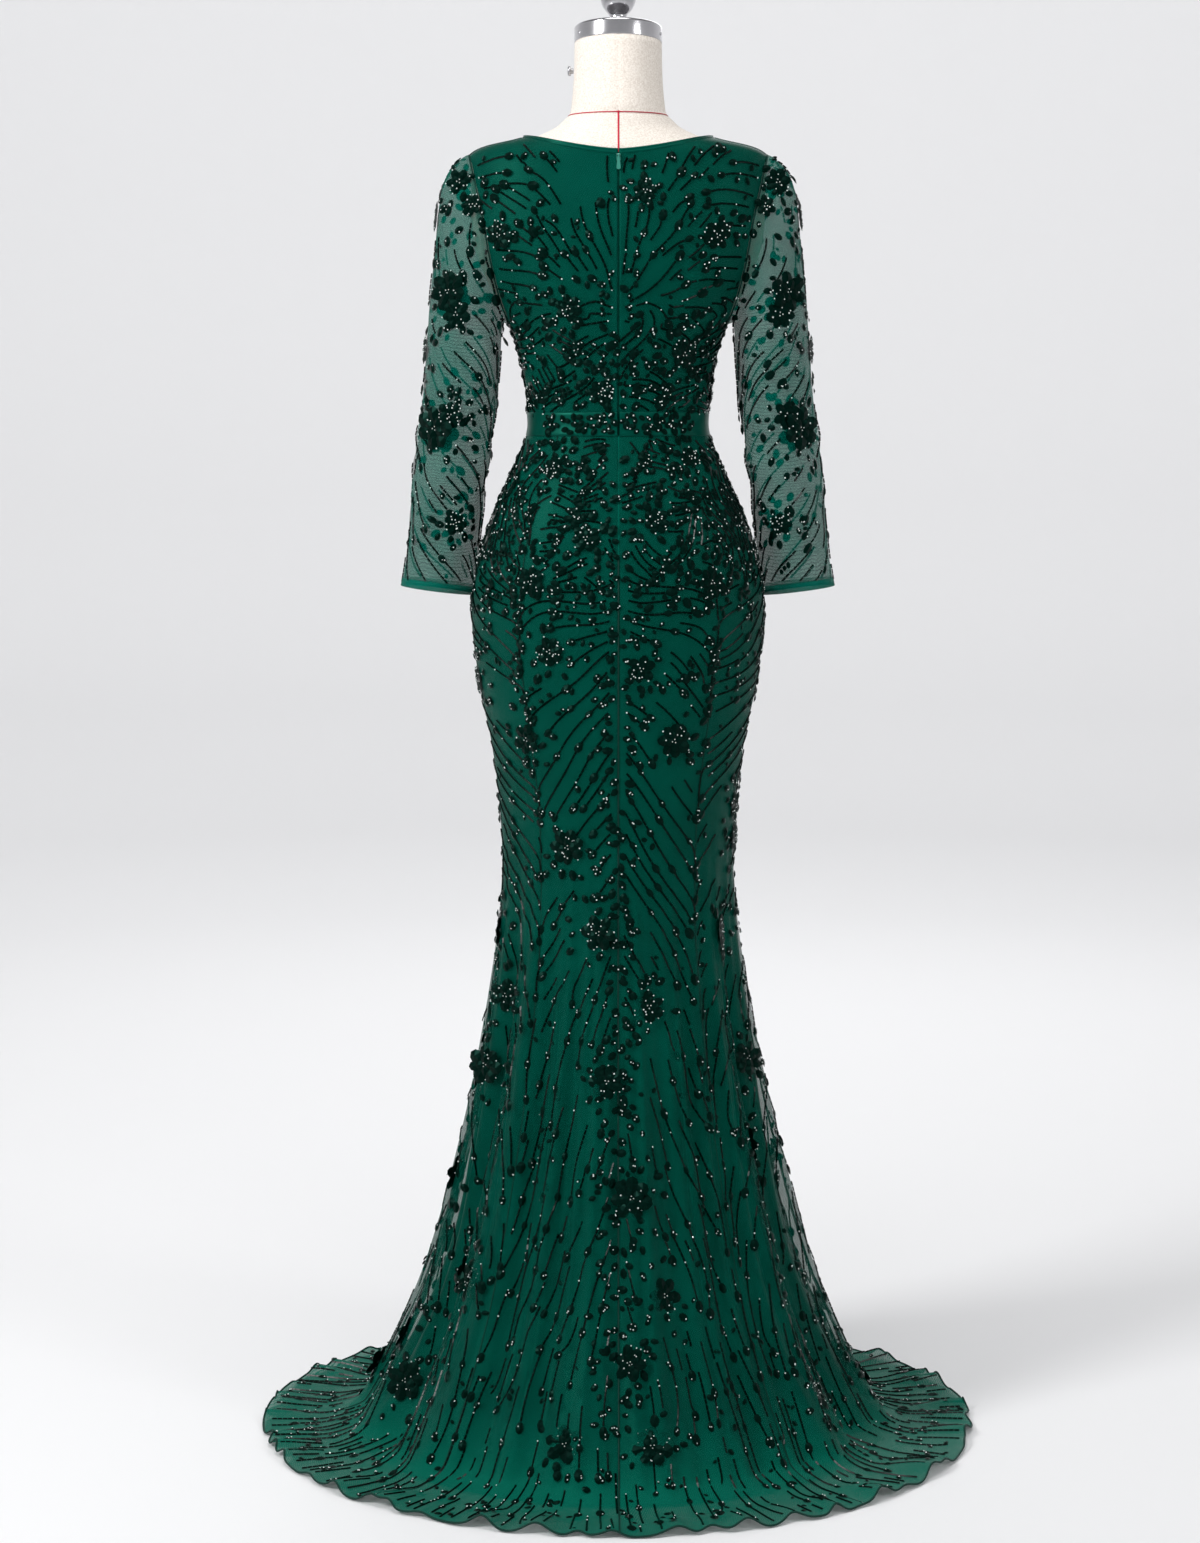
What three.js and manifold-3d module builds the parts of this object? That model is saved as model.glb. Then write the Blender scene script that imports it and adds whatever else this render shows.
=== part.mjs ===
// A long-sleeved evening gown of beaded tulle over a satin lining, standing on a limbless dress form.
// Millimetres, +Z up. The gown's front faces -Y and its back +Y, and the wearer's left is +X.
// The origin is on the floor, on the axis of the form's pole.
import * as THREE from "three";
import { mergeVertices } from "three/addons/utils/BufferGeometryUtils.js";
import Module from "manifold-3d";

const wasm = await Module();
wasm.setup();

// Cloth and seams
const bodiceWall = 1.6;
const skirtWall = 1.2;
const liningWall = 1.2;
const sleeveWall = 1.2;
const bindingWall = 1;
const seamGap = 0.4;
const zipGap = 1.8;
const armholeGap = 0.7;

// Heights on the gown
const backNeckHeight = 1608;
const frontNeckHeight = 1562;
const neckPointHeight = 1629;
const neckPointX = 117;
const shoulderTipHeight = 1607;
const shoulderTipX = 184;
const armpitHeight = 1400;
const armpitX = 136;
const bandTop = 1290;
const bandBottom = 1262;
const zipEnd = 1118;
const liningTop = 640;
const princessAngle = 40; // degrees from the centre back

// The form, its cap and its stand
const formClearance = 4.6; // from the gown's outer face to the form
const shoulderDrop = 4;
const formBottom = 858;
const neckTilt = 6.3; // degrees, leaning forward
const neckTopY = -13;
const neckTopHeight = 1744;
const capRadius = 54.4;
const capHeight = 21;
const poleRadius = 16;
const baseRadius = 185;
const baseThickness = 9;

// Horizontal sections of the body of the gown: half width, and depth behind and before the pole's axis.
// square is the power of the curve: 2 is an ellipse, and more is boxier.
const sections = [
  { z: 1656, wide: 61, back: 58, front: 56, square: 2 },
  { z: 1650, wide: 71, back: 62, front: 58, square: 2 },
  { z: 1641, wide: 88, back: 67, front: 61, square: 2 },
  { z: 1629, wide: 117, back: 73, front: 64, square: 2 },
  { z: 1607, wide: 184, back: 84, front: 70, square: 2 },
  { z: 1560, wide: 186, back: 92, front: 79, square: 2.2 },
  { z: 1523, wide: 184, back: 97, front: 87, square: 2.2 },
  { z: 1486, wide: 178, back: 99, front: 93, square: 2.2 },
  { z: 1434, wide: 156, back: 98, front: 97, square: 2.3 },
  { z: 1400, wide: 136, back: 95, front: 96, square: 2.3 },
  { z: 1368, wide: 124.5, back: 92, front: 94, square: 2.2 },
  { z: 1318, wide: 114.8, back: 87, front: 91, square: 2.1 },
  { z: 1290, wide: 112.5, back: 85, front: 90, square: 2.1 },
  { z: 1262, wide: 114, back: 87, front: 91, square: 2.1 },
  { z: 1219, wide: 132, back: 100, front: 97, square: 2.1 },
  { z: 1169, wide: 154, back: 113, front: 101, square: 2.2 },
  { z: 1119, wide: 171, back: 122, front: 104, square: 2.2 },
  { z: 1043, wide: 183.7, back: 128, front: 106, square: 2.2 },
  { z: 955, wide: 175, back: 125, front: 105, square: 2.2 },
  { z: 879, wide: 160, back: 122, front: 103, square: 2.2 },
  { z: 802, wide: 150, back: 121, front: 101, square: 2.1 },
  { z: 725, wide: 147, back: 124, front: 103, square: 2.1 },
  { z: 649, wide: 153, back: 131, front: 108, square: 2 },
  { z: 571, wide: 165, back: 144, front: 117, square: 2 },
  { z: 493, wide: 180, back: 161, front: 130, square: 2 },
  { z: 415, wide: 197, back: 182, front: 147, square: 2 },
  { z: 337, wide: 217, back: 206, front: 168, square: 2 },
  { z: 258, wide: 238, back: 233, front: 193, square: 2 },
  { z: 179, wide: 264, back: 265, front: 222, square: 2 },
  { z: 100, wide: 299, back: 305, front: 262, square: 2 },
  { z: 45, wide: 328, back: 336, front: 294, square: 2 },
  { z: 15, wide: 348, back: 356, front: 315, square: 2 },
  { z: 5, wide: 372, back: 380, front: 338, square: 2 },
  { z: 3, wide: 412, back: 416, front: 369, square: 2 },
  { z: 2, wide: 456, back: 456, front: 401, square: 2 },
];

// The lining under the tulle: how far inside it the lining hangs, by height.
const liningRows = [
  { z: 640, inside: 1.9 },
  { z: 571, inside: 5 },
  { z: 493, inside: 8 },
  { z: 415, inside: 14 },
  { z: 337, inside: 20 },
  { z: 258, inside: 25 },
  { z: 179, inside: 26 },
  { z: 100, inside: 24 },
  { z: 45, inside: 19 },
  { z: 15, inside: 15 },
];
const liningHem = { z: 1.5, wide: 347, back: 350, front: 312 };

// Soft vertical folds of the flare, by angle from the centre back towards +X.
const folds = [
  { at: 58, spread: 6.5, depth: 16 },
  { at: 31, spread: 5, depth: 11 },
  { at: 18, spread: 4.5, depth: 9 },
  { at: 0, spread: 4, depth: 6 },
  { at: -17, spread: 5, depth: 7 },
  { at: -30, spread: 4.5, depth: 11 },
  { at: -43, spread: 5, depth: 9 },
  { at: -63, spread: 6.5, depth: 15 },
  { at: 84, spread: 6, depth: 10 },
  { at: 108, spread: 7, depth: 14 },
  { at: 134, spread: 6, depth: 10 },
  { at: 158, spread: 7, depth: 13 },
  { at: -176, spread: 6, depth: 8 },
  { at: -150, spread: 7, depth: 14 },
  { at: -124, spread: 6, depth: 9 },
  { at: -100, spread: 7, depth: 13 },
];
const foldTop = 780;
const foldFull = 230;
const foldFloor = 20;

// Waves of the hem on the floor
const hemWaves = 46;
const hemWaveHeight = 8;
const hemWaveReach = 90; // from the hem inwards

// Edge of the armhole in front and behind: half width by height.
const armholeBack = [
  { z: 1607, x: 184 },
  { z: 1560, x: 173.5 },
  { z: 1523, x: 165 },
  { z: 1486, x: 159 },
  { z: 1434, x: 147 },
  { z: 1400, x: 136 },
];
const armholeFront = [
  { z: 1607, x: 184 },
  { z: 1560, x: 169 },
  { z: 1523, x: 158 },
  { z: 1486, x: 152 },
  { z: 1434, x: 145 },
  { z: 1400, x: 136 },
];

// The sleeve below the armpit: centre, and half width across and fore and aft.
const sleeveRings = [
  { z: 1388, x: 191, y: -2, wide: 46, deep: 54 },
  { z: 1310, x: 198.5, y: -6, wide: 46, deep: 51 },
  { z: 1230, x: 208, y: -13, wide: 45.5, deep: 48 },
  { z: 1150, x: 218, y: -24, wide: 44.5, deep: 45 },
  { z: 1078, x: 226.5, y: -36, wide: 46, deep: 45.5 },
  { z: 1066, x: 228, y: -38, wide: 46.8, deep: 46 },
];
const sleeveHemHeight = 11;
const gathers = 7;
const gatherDepth = 2.6;
const sleeveHeadRise = 34;

const radians = THREE.MathUtils.degToRad;
const smooth = THREE.MathUtils.smoothstep;

// Reads a column of a table at a key, on a smooth curve through its rows. The key falls from row to row.
function readTable(rows, key, column, at) {
  const last = rows.length - 1;
  let i = 0;
  while (i < last - 1 && at < rows[i + 1][key]) i += 1;
  const a = rows[i];
  const b = rows[i + 1];
  const slope = (j) => {
    const before = rows[Math.max(j - 1, 0)];
    const after = rows[Math.min(j + 1, last)];
    return (after[column] - before[column]) / (after[key] - before[key]);
  };
  const step = b[key] - a[key];
  const t = THREE.MathUtils.clamp((at - a[key]) / step, 0, 1);
  const rise = b[column] - a[column];
  const startTangent = slope(i) * step;
  const endTangent = slope(i + 1) * step;
  const t2 = t * t;
  const t3 = t2 * t;
  return (
    a[column] +
    rise * (3 * t2 - 2 * t3) +
    startTangent * (t3 - 2 * t2 + t) +
    endTangent * (t3 - t2)
  );
}

// Each section's place along the side of the gown, counted down the cloth as a negative length.
let run = 0;
for (const [i, row] of sections.entries()) {
  const before = sections[Math.max(i - 1, 0)];
  run -= Math.hypot(row.z - before.z, row.wide - before.wide);
  row.along = run;
}
const hemAlong = run;

function sectionAt(along) {
  const read = (column) => readTable(sections, "along", column, along);
  return {
    z: read("z"),
    wide: read("wide"),
    back: read("back"),
    front: read("front"),
    square: read("square"),
  };
}

// The place along the cloth where the body's section lies at a height.
function alongAtHeight(z) {
  let high = 0;
  let low = hemAlong;
  for (let i = 0; i < 40; i += 1) {
    const middle = (high + low) / 2;
    if (sectionAt(middle).z > z) high = middle;
    else low = middle;
  }
  return (high + low) / 2;
}

const sectionAtHeight = (z) => sectionAt(alongAtHeight(z));

// The bust of a general figure, as a rise of the front.
function bust(x, z) {
  const across = (Math.abs(x) - 78) / 46;
  const up = (z - 1437) / 46;
  return 20 * Math.exp(-across * across - up * up);
}

// A point of a section at an angle in degrees from the centre back towards +X.
function sectionPoint(section, angle) {
  const power = 2 / section.square;
  const s = Math.sin(radians(angle));
  const c = Math.cos(radians(angle));
  const x = section.wide * Math.sign(s) * Math.abs(s) ** power;
  const depth = c > 0 ? section.back : section.front;
  const y = depth * Math.sign(c) * Math.abs(c) ** power;
  const rise = c > 0 ? 0 : bust(x, section.z) * (section.fullness ?? 1) * Math.abs(c) ** power;
  return new THREE.Vector3(x, y - rise, section.z);
}

// How deep the folds are at an angle, and how far they have grown at a height.
function foldDepth(angle, z) {
  let depth = 0;
  for (const fold of folds) {
    const turn = THREE.MathUtils.euclideanModulo(angle - fold.at + 180, 360) - 180;
    depth += fold.depth * Math.exp(-((turn / fold.spread) ** 2));
  }
  const grown = 1 - smooth(z, foldFull, foldTop);
  return depth * grown * smooth(z, 2, foldFloor);
}

function hemWave(angle) {
  const a = radians(angle);
  return Math.sin(hemWaves * a + 0.9 * Math.sin(5 * a + 1) + 0.7 * Math.sin(11 * a + 2));
}

// The outer face of the skirt.
function skirtPoint(angle, along) {
  const section = sectionAt(along);
  const point = sectionPoint(section, angle);
  const flat = new THREE.Vector3(point.x, point.y, 0);
  const fold = foldDepth(angle, section.z);
  point.addScaledVector(flat.normalize(), -fold);
  const nearHem = 1 - smooth(along - hemAlong, 0, hemWaveReach);
  point.z += nearHem * hemWaveHeight * 0.5 * (1 + hemWave(angle));
  return point;
}

// The outer face of the lining.
function liningPoint(angle, along) {
  const z = sectionAt(along).z;
  if (z <= liningRows.at(-1).z) return sectionPoint({ ...liningHem, square: 2 }, angle);
  const inside = readTable(liningRows, "z", "inside", z);
  const point = skirtPoint(angle, along);
  const inward = new THREE.Vector3(-point.x, -point.y, 0).normalize();
  return point.addScaledVector(inward, inside);
}

// The way out of a face at a point of it, from its neighbours along and across.
function faceNormal(face, angle, along) {
  const turn = 0.4;
  const step = 1.5;
  const across = face(angle + turn, along).sub(face(angle - turn, along));
  const down = face(angle, along - step).sub(face(angle, along + step));
  return across.cross(down).normalize();
}

// Joins two rows of points, which may differ in number, by triangles.
function stitch(upper, lower, closed) {
  const triangles = [];
  const n = upper.length - (closed ? 0 : 1);
  const m = lower.length - (closed ? 0 : 1);
  let i = 0;
  let j = 0;
  while (i < n || j < m) {
    const a = upper[i % upper.length];
    const b = lower[j % lower.length];
    if (j >= m || (i < n && (i + 1) / n <= (j + 1) / m)) {
      i += 1;
      triangles.push(a, upper[i % upper.length], b);
    } else {
      j += 1;
      triangles.push(a, lower[j % lower.length], b);
    }
  }
  return triangles;
}

// A closed geometry from points and triangles, with its faces turned outwards.
function closedGeometry(points, triangles) {
  let volume = 0;
  for (let i = 0; i < triangles.length; i += 3) {
    const [a, b, c] = [0, 1, 2].map((k) => points[triangles[i + k]]);
    volume += a.dot(b.clone().cross(c)) / 6;
  }
  const index = volume < 0 ? triangles.slice().reverse() : triangles;
  const geometry = new THREE.BufferGeometry().setFromPoints(points);
  geometry.setIndex(index);
  return geometry;
}

// A wall of cloth between rows of outer points and rows of inner points, from the top row down.
function wallGeometry(outerRows, innerRows, closed = false) {
  const points = [];
  const number = (rows) => rows.map((row) => row.map((point) => points.push(point) - 1));
  const outer = number(outerRows);
  const inner = number(innerRows);
  const triangles = [];
  const last = outer.length - 1;
  for (let i = 0; i < last; i += 1) {
    triangles.push(...stitch(outer[i], outer[i + 1], closed));
    triangles.push(...stitch(inner[i], inner[i + 1], closed).reverse());
  }
  triangles.push(...stitch(inner[0], outer[0], closed));
  triangles.push(...stitch(outer[last], inner[last], closed));
  if (!closed) {
    const side = (rows, pick) => rows.map((row) => row.at(pick));
    triangles.push(...stitch(side(outer, 0), side(inner, 0), false));
    triangles.push(...stitch(side(inner, -1), side(outer, -1), false));
  }
  return closedGeometry(points, triangles);
}

// A wall on a face between two angles. Each row says its place along the cloth and its number of columns.
function facePanel(face, fromAngle, toAngle, rows, thickness, gaps = [seamGap / 2, seamGap / 2]) {
  const outerRows = [];
  const innerRows = [];
  for (const { along, columns } of rows) {
    const start = face(fromAngle, along);
    const end = face(toAngle, along);
    const startTurn = THREE.MathUtils.radToDeg(gaps[0] / Math.hypot(start.x, start.y));
    const endTurn = THREE.MathUtils.radToDeg(gaps[1] / Math.hypot(end.x, end.y));
    const outer = [];
    const inner = [];
    for (let k = 0; k <= columns; k += 1) {
      let angle = THREE.MathUtils.lerp(fromAngle, toAngle, k / columns);
      if (k === 0) angle += startTurn;
      if (k === columns) angle -= endTurn;
      const point = face(angle, along);
      outer.push(point);
      inner.push(point.clone().addScaledVector(faceNormal(face, angle, along), -thickness));
    }
    outerRows.push(outer);
    innerRows.push(inner);
  }
  return wallGeometry(outerRows, innerRows);
}

// Rows of the skirt: few columns over the hips, more in the flare and most at the hem.
const columnAngle = 10;
const upperHeights = [bandBottom - 0.3, 1219, 1169, 1119, 1060, 995, 930, 865, 800];
const flareHeights = [715, 625, 525, 425, 325, 230, 140, 65, 18];
const floorLengths = [90];
const hemLengths = [40, 0];

function skirtPanel(fromAngle, toAngle, finer) {
  const columns = (times) => Math.round(((toAngle - fromAngle) / columnAngle) * times);
  const rows = [
    ...upperHeights.map((z) => ({ along: alongAtHeight(z), columns: columns(1) })),
    ...flareHeights.map((z) => ({ along: alongAtHeight(z), columns: columns(finer) })),
    ...floorLengths.map((length) => ({ along: hemAlong + length, columns: columns(finer) })),
    ...hemLengths.map((length) => ({ along: hemAlong + length, columns: columns(2 * finer) })),
  ];
  return facePanel(skirtPoint, fromAngle, toAngle, rows, skirtWall);
}

function liningPanel(fromAngle, toAngle) {
  const heights = [liningTop, 550, 450, 350, 250, 155, 70, 18, 5];
  const rows = heights.map((z) => ({ along: alongAtHeight(z), columns: 22 }));
  return facePanel(liningPoint, fromAngle, toAngle, rows, liningWall);
}

// The band at the waist stands upright between the bodice and the skirt.
function bandPanel(fromAngle, toAngle, gaps) {
  const outerRows = [];
  const innerRows = [];
  for (const z of [bandTop - 0.3, (bandTop + bandBottom) / 2, bandBottom + 0.1]) {
    const section = sectionAtHeight(z);
    const inside = {
      ...section,
      wide: section.wide - bodiceWall,
      back: section.back - bodiceWall,
      front: section.front - bodiceWall,
    };
    const columns = Math.round((toAngle - fromAngle) / columnAngle);
    const outer = [];
    const inner = [];
    for (let k = 0; k <= columns; k += 1) {
      const startTurn = k === 0 ? gaps[0] / section.back : 0;
      const endTurn = k === columns ? gaps[1] / section.back : 0;
      const turn = THREE.MathUtils.radToDeg(startTurn - endTurn);
      const angle = fromAngle + k * columnAngle + turn;
      outer.push(sectionPoint(section, angle));
      inner.push(sectionPoint(inside, angle));
    }
    outerRows.push(outer);
    innerRows.push(inner);
  }
  return wallGeometry(outerRows, innerRows);
}

// The depth of the body at a place seen from behind or in front. sign is 1 behind and -1 in front.
function bodyDepth(x, z, sign) {
  const section = sectionAtHeight(z);
  const share = Math.min(Math.abs(x) / section.wide, 1);
  const rest = (1 - share ** section.square) ** (1 / section.square);
  const depth = sign > 0 ? section.back : section.front + bust(x, z);
  return sign * depth * rest;
}

const armpitShare = 0.4; // of the way up the side edge
const neckShare = 0.62; // of the way along the top edge

// The edge of a bodice panel from the waist up the side seam and round the armhole, as x and z.
function sideEdge(armhole, share) {
  if (share <= armpitShare) {
    const z = THREE.MathUtils.lerp(bandTop, armpitHeight, share / armpitShare);
    return [sectionAtHeight(z).wide, z];
  }
  const up = (share - armpitShare) / (1 - armpitShare);
  const z = THREE.MathUtils.lerp(armpitHeight, shoulderTipHeight, up);
  return [readTable(armhole, "z", "x", z), z];
}

const neckPointAlong = alongAtHeight(neckPointHeight);
const shoulderTipAlong = alongAtHeight(shoulderTipHeight);

// The top edge of a bodice panel: the neckline, then the shoulder seam along the ridge of the body.
function topEdge(neckHeight, power, share) {
  if (share <= neckShare) {
    const out = Math.sin(((share / neckShare) * Math.PI) / 2);
    return [neckPointX * out, neckHeight + (neckPointHeight - neckHeight) * out ** power];
  }
  const out = (share - neckShare) / (1 - neckShare);
  const ridge = sectionAt(THREE.MathUtils.lerp(neckPointAlong, shoulderTipAlong, out));
  return [ridge.wide, ridge.z];
}

const bodiceColumns = [0, 0.12, 0.24, 0.36, 0.46, 0.54, neckShare, 0.7, 0.78, 0.86, 0.93, 1];
const bodiceRows = [1, 0.992, 0.984, 0.94, 0.85, 0.74, 0.62, 0.51, 0.44, 0.415, armpitShare, 0.26, 0.13, 0];

// One half of the front or back of the bodice: rows from the top down, each from the centre out.
function bodiceHalf(sign, armhole, neckHeight, neckPower, centreGap) {
  const { lerp } = THREE.MathUtils;
  const waistX = sectionAtHeight(bandTop).wide;
  return bodiceRows.map((up) =>
    bodiceColumns.map((out) => {
      const [topX, topZ] = topEdge(neckHeight, neckPower, out);
      const [sideX, sideZ] = sideEdge(armhole, up);
      const bottomX = waistX * Math.sin((out * Math.PI) / 2);
      const x = lerp(bottomX, topX, up) + out * (sideX - lerp(waistX, shoulderTipX, up));
      const z = lerp(bandTop, topZ, up) + out * (sideZ - lerp(bandTop, shoulderTipHeight, up));
      const y = bodyDepth(x, z, sign) + (sign * seamGap) / 2;
      return new THREE.Vector3(Math.max(x, centreGap), y, z);
    }),
  );
}

// Points moved in from rows of outer points. At a seam on the side the way in has no part along Y.
function movedIn(rows, thickness) {
  const at = (i, k) => rows[THREE.MathUtils.clamp(i, 0, rows.length - 1)][k];
  return rows.map((row, i) =>
    row.map((point, k) => {
      const next = Math.min(k + 1, row.length - 1);
      const before = Math.max(k - 1, 0);
      const across = at(i, next).clone().sub(at(i, before));
      const down = at(i + 1, k).clone().sub(at(i - 1, k));
      const out = across.cross(down).normalize();
      if (out.x * point.x + out.y * point.y < 0) out.negate();
      if (Math.abs(point.y) < seamGap) out.y = 0;
      if (Math.abs(point.x) < zipGap) out.x = 0;
      out.normalize();
      return point.clone().addScaledVector(out, -thickness);
    }),
  );
}

const mirrored = (rows) =>
  rows.map((row) => row.map((point) => new THREE.Vector3(-point.x, point.y, point.z)));

const backHalf = bodiceHalf(1, armholeBack, backNeckHeight, 1.5, zipGap / 2);
const frontHalf = bodiceHalf(-1, armholeFront, frontNeckHeight, 2.2, 0);
const backHalfInner = movedIn(backHalf, bodiceWall);
const frontHalfInner = movedIn(frontHalf, bodiceWall);
const wholeRows = (rows) => {
  const other = mirrored(rows);
  return rows.map((row, i) => [...other[i].slice(1).reverse(), ...row]);
};

// The binding lies on the top rows of a bodice panel, from the centre to the shoulder seam.
function bindingRows(rows, out) {
  const columns = bodiceColumns.indexOf(neckShare) + 1;
  return movedIn(rows, -out)
    .slice(0, 3)
    .map((row) => row.slice(0, columns));
}

const bindingOut = seamGap + bindingWall;
const backBinding = bindingRows(backHalf, bindingOut);
const backBindingInner = bindingRows(backHalf, seamGap);
const frontBinding = wholeRows(bindingRows(frontHalf, bindingOut));
const frontBindingInner = wholeRows(bindingRows(frontHalf, seamGap));

// The edge of the armhole as a ring: up the back from the armpit, then down the front.
const ringColumns = 11;
function ringShares() {
  const shares = [];
  for (let k = 0; k <= ringColumns; k += 1) {
    const even = k / ringColumns;
    shares.push(even + 0.3 * even * (1 - even) ** 0.8 * even);
  }
  return shares.map((share) => Math.min(share, 1));
}

function armholePoint(side, armhole, sign, share) {
  const z = THREE.MathUtils.lerp(armpitHeight, shoulderTipHeight, share);
  const x = readTable(armhole, "z", "x", z);
  return new THREE.Vector3(side * x, bodyDepth(x, z, sign), z);
}

// A point of a sleeve ring. turn is 0 at the inside of the arm and 180 at the outside.
function sleeveRingPoint(side, z, turn, inset) {
  const read = (column) => readTable(sleeveRings, "z", column, z);
  const lean = (read("x") - readTable(sleeveRings, "z", "x", z + 10)) / 10;
  const inward = -Math.cos(radians(turn));
  const x = (read("wide") - inset) * inward;
  const y = (read("deep") - inset) * Math.sin(radians(turn));
  return new THREE.Vector3(side * (read("x") + x), read("y") + y, z + x * lean);
}

// Columns round a sleeve from the armpit by the back to the top, then by the front to the armpit.
const sleeveColumns = [];
for (const [k, share] of ringShares().entries()) {
  sleeveColumns.push({ armhole: armholeBack, sign: 1, share, turn: (180 * k) / ringColumns });
}
for (const [k, share] of ringShares().entries()) {
  if (k === 0 || k === ringColumns) continue;
  sleeveColumns.push({ armhole: armholeFront, sign: -1, share, turn: -(180 * k) / ringColumns });
}
sleeveColumns.sort((a, b) => a.turn - b.turn);

// A point of the sleeve head, on a curve from the armhole outwards and down into the first ring.
function sleeveHeadPoint(side, column, down) {
  const start = armholePoint(side, column.armhole, column.sign, column.share);
  start.x += side * armholeGap;
  const end = sleeveRingPoint(side, sleeveRings[0].z, column.turn, 0);
  const high = smooth(column.share, 0.55, 1);
  const leave = new THREE.Vector3(
    side * (24 + 34 * high),
    12 * column.sign * (1 - high),
    sleeveHeadRise * high,
  );
  const arrive = new THREE.Vector3(side * 6, 0, -60 - 190 * high);
  const t = down;
  const point = new THREE.Vector3()
    .addScaledVector(start, 2 * t ** 3 - 3 * t ** 2 + 1)
    .addScaledVector(leave, t ** 3 - 2 * t ** 2 + t)
    .addScaledVector(end, -2 * t ** 3 + 3 * t ** 2)
    .addScaledVector(arrive, t ** 3 - t ** 2);
  const ripple = Math.cos(radians(column.turn * gathers));
  const gathered = gatherDepth * high * Math.sin(Math.PI * Math.min(down / 0.45, 1));
  point.z += gathered * ripple;
  return point;
}

const headSteps = [0, 0.12, 0.28, 0.5, 0.76];
const sleeveHeights = [1388, 1310, 1230, 1150, 1078];

function sleeveRows(side) {
  const rows = headSteps.map((down) =>
    sleeveColumns.map((column) => sleeveHeadPoint(side, column, down)),
  );
  for (const z of sleeveHeights) {
    rows.push(sleeveColumns.map((column) => sleeveRingPoint(side, z, column.turn, 0)));
  }
  return rows;
}

// Rings of a tube moved in across the cloth.
function tubeMovedIn(rows, thickness) {
  return rows.map((row, i) => {
    const centre = row.reduce((sum, point) => sum.add(point), new THREE.Vector3());
    centre.divideScalar(row.length);
    return row.map((point, k) => {
      const across = row[(k + 1) % row.length].clone().sub(row.at(k - 1));
      const above = rows[Math.max(i - 1, 0)][k];
      const below = rows[Math.min(i + 1, rows.length - 1)][k];
      const out = across.cross(below.clone().sub(above)).normalize();
      if (out.dot(point.clone().sub(centre)) < 0) out.negate();
      return point.clone().addScaledVector(out, -thickness);
    });
  });
}

function sleeve(side) {
  const rows = sleeveRows(side);
  return wallGeometry(rows, tubeMovedIn(rows, sleeveWall), true);
}

function sleeveHem(side) {
  const top = sleeveRings.at(-2).z - seamGap;
  const ring = (z, inset) =>
    sleeveColumns.map((column) => sleeveRingPoint(side, z, column.turn, inset));
  const heights = [top, top - sleeveHemHeight];
  const outer = heights.map((z) => ring(z, -0.3));
  const inner = heights.map((z) => ring(z, sleeveWall + 0.3));
  return wallGeometry(outer, inner, true);
}

// The zip's tape behind the centre back opening.
function zipTape() {
  const halfWidth = 6;
  const behind = bodiceWall + 0.4;
  const thickness = 0.9;
  const heights = [
    1604, 1580, 1545, 1500, 1450, 1400, 1350, 1310, 1290, 1276, 1262, 1235, 1205, 1165, zipEnd,
  ];
  const row = (z, inset) =>
    [-halfWidth, 0, halfWidth].map(
      (x) => new THREE.Vector3(x, bodyDepth(x, z, 1) - inset, z),
    );
  return wallGeometry(
    heights.map((z) => row(z, behind)),
    heights.map((z) => row(z, behind + thickness)),
  );
}

// A solid for joining and cutting, from a three.js geometry.
function solidOf(geometry) {
  const bare = geometry.clone();
  bare.deleteAttribute("normal");
  bare.deleteAttribute("uv");
  const merged = mergeVertices(bare, 1e-3);
  const corners = Array.from(merged.getIndex().array);
  const triVerts = [];
  for (let i = 0; i < corners.length; i += 3) {
    const [a, b, c] = corners.slice(i, i + 3);
    if (a !== b && b !== c && c !== a) triVerts.push(a, b, c);
  }
  return new wasm.Manifold(
    new wasm.Mesh({
      numProp: 3,
      vertProperties: new Float32Array(merged.getAttribute("position").array),
      triVerts: new Uint32Array(triVerts),
    }),
  );
}

function geometryOf(solid) {
  const mesh = solid.getMesh();
  const geometry = new THREE.BufferGeometry();
  geometry.setAttribute("position", new THREE.BufferAttribute(mesh.vertProperties, 3));
  geometry.setIndex(new THREE.BufferAttribute(mesh.triVerts, 1));
  return geometry;
}

// The slider and its pull, with X across, Y out of the cloth, Z up and the pull's pin at the origin
const pinRadius = 0.55;
const eyeRadius = 1.4;
const eyeHole = 0.85;
const eyeLength = 2.2;
const pinOut = 3.1; // from the cloth to the pin

function rod(radius, length) {
  return new THREE.CylinderGeometry(radius, radius, length, 12).rotateZ(Math.PI / 2);
}

function zipSlider() {
  const plate = solidOf(new THREE.BoxGeometry(5, 0.9, 8).translate(0, 0.8 - pinOut, -2.8));
  let slider = plate.add(solidOf(rod(pinRadius, 4.6)));
  for (const side of [-1, 1]) {
    const lug = new THREE.BoxGeometry(0.9, pinOut - 0.2, 2.4);
    lug.translate(side * 1.85, (0.5 - pinOut) / 2 + 0.35, 0);
    slider = slider.add(solidOf(lug));
  }
  return geometryOf(slider);
}

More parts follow.
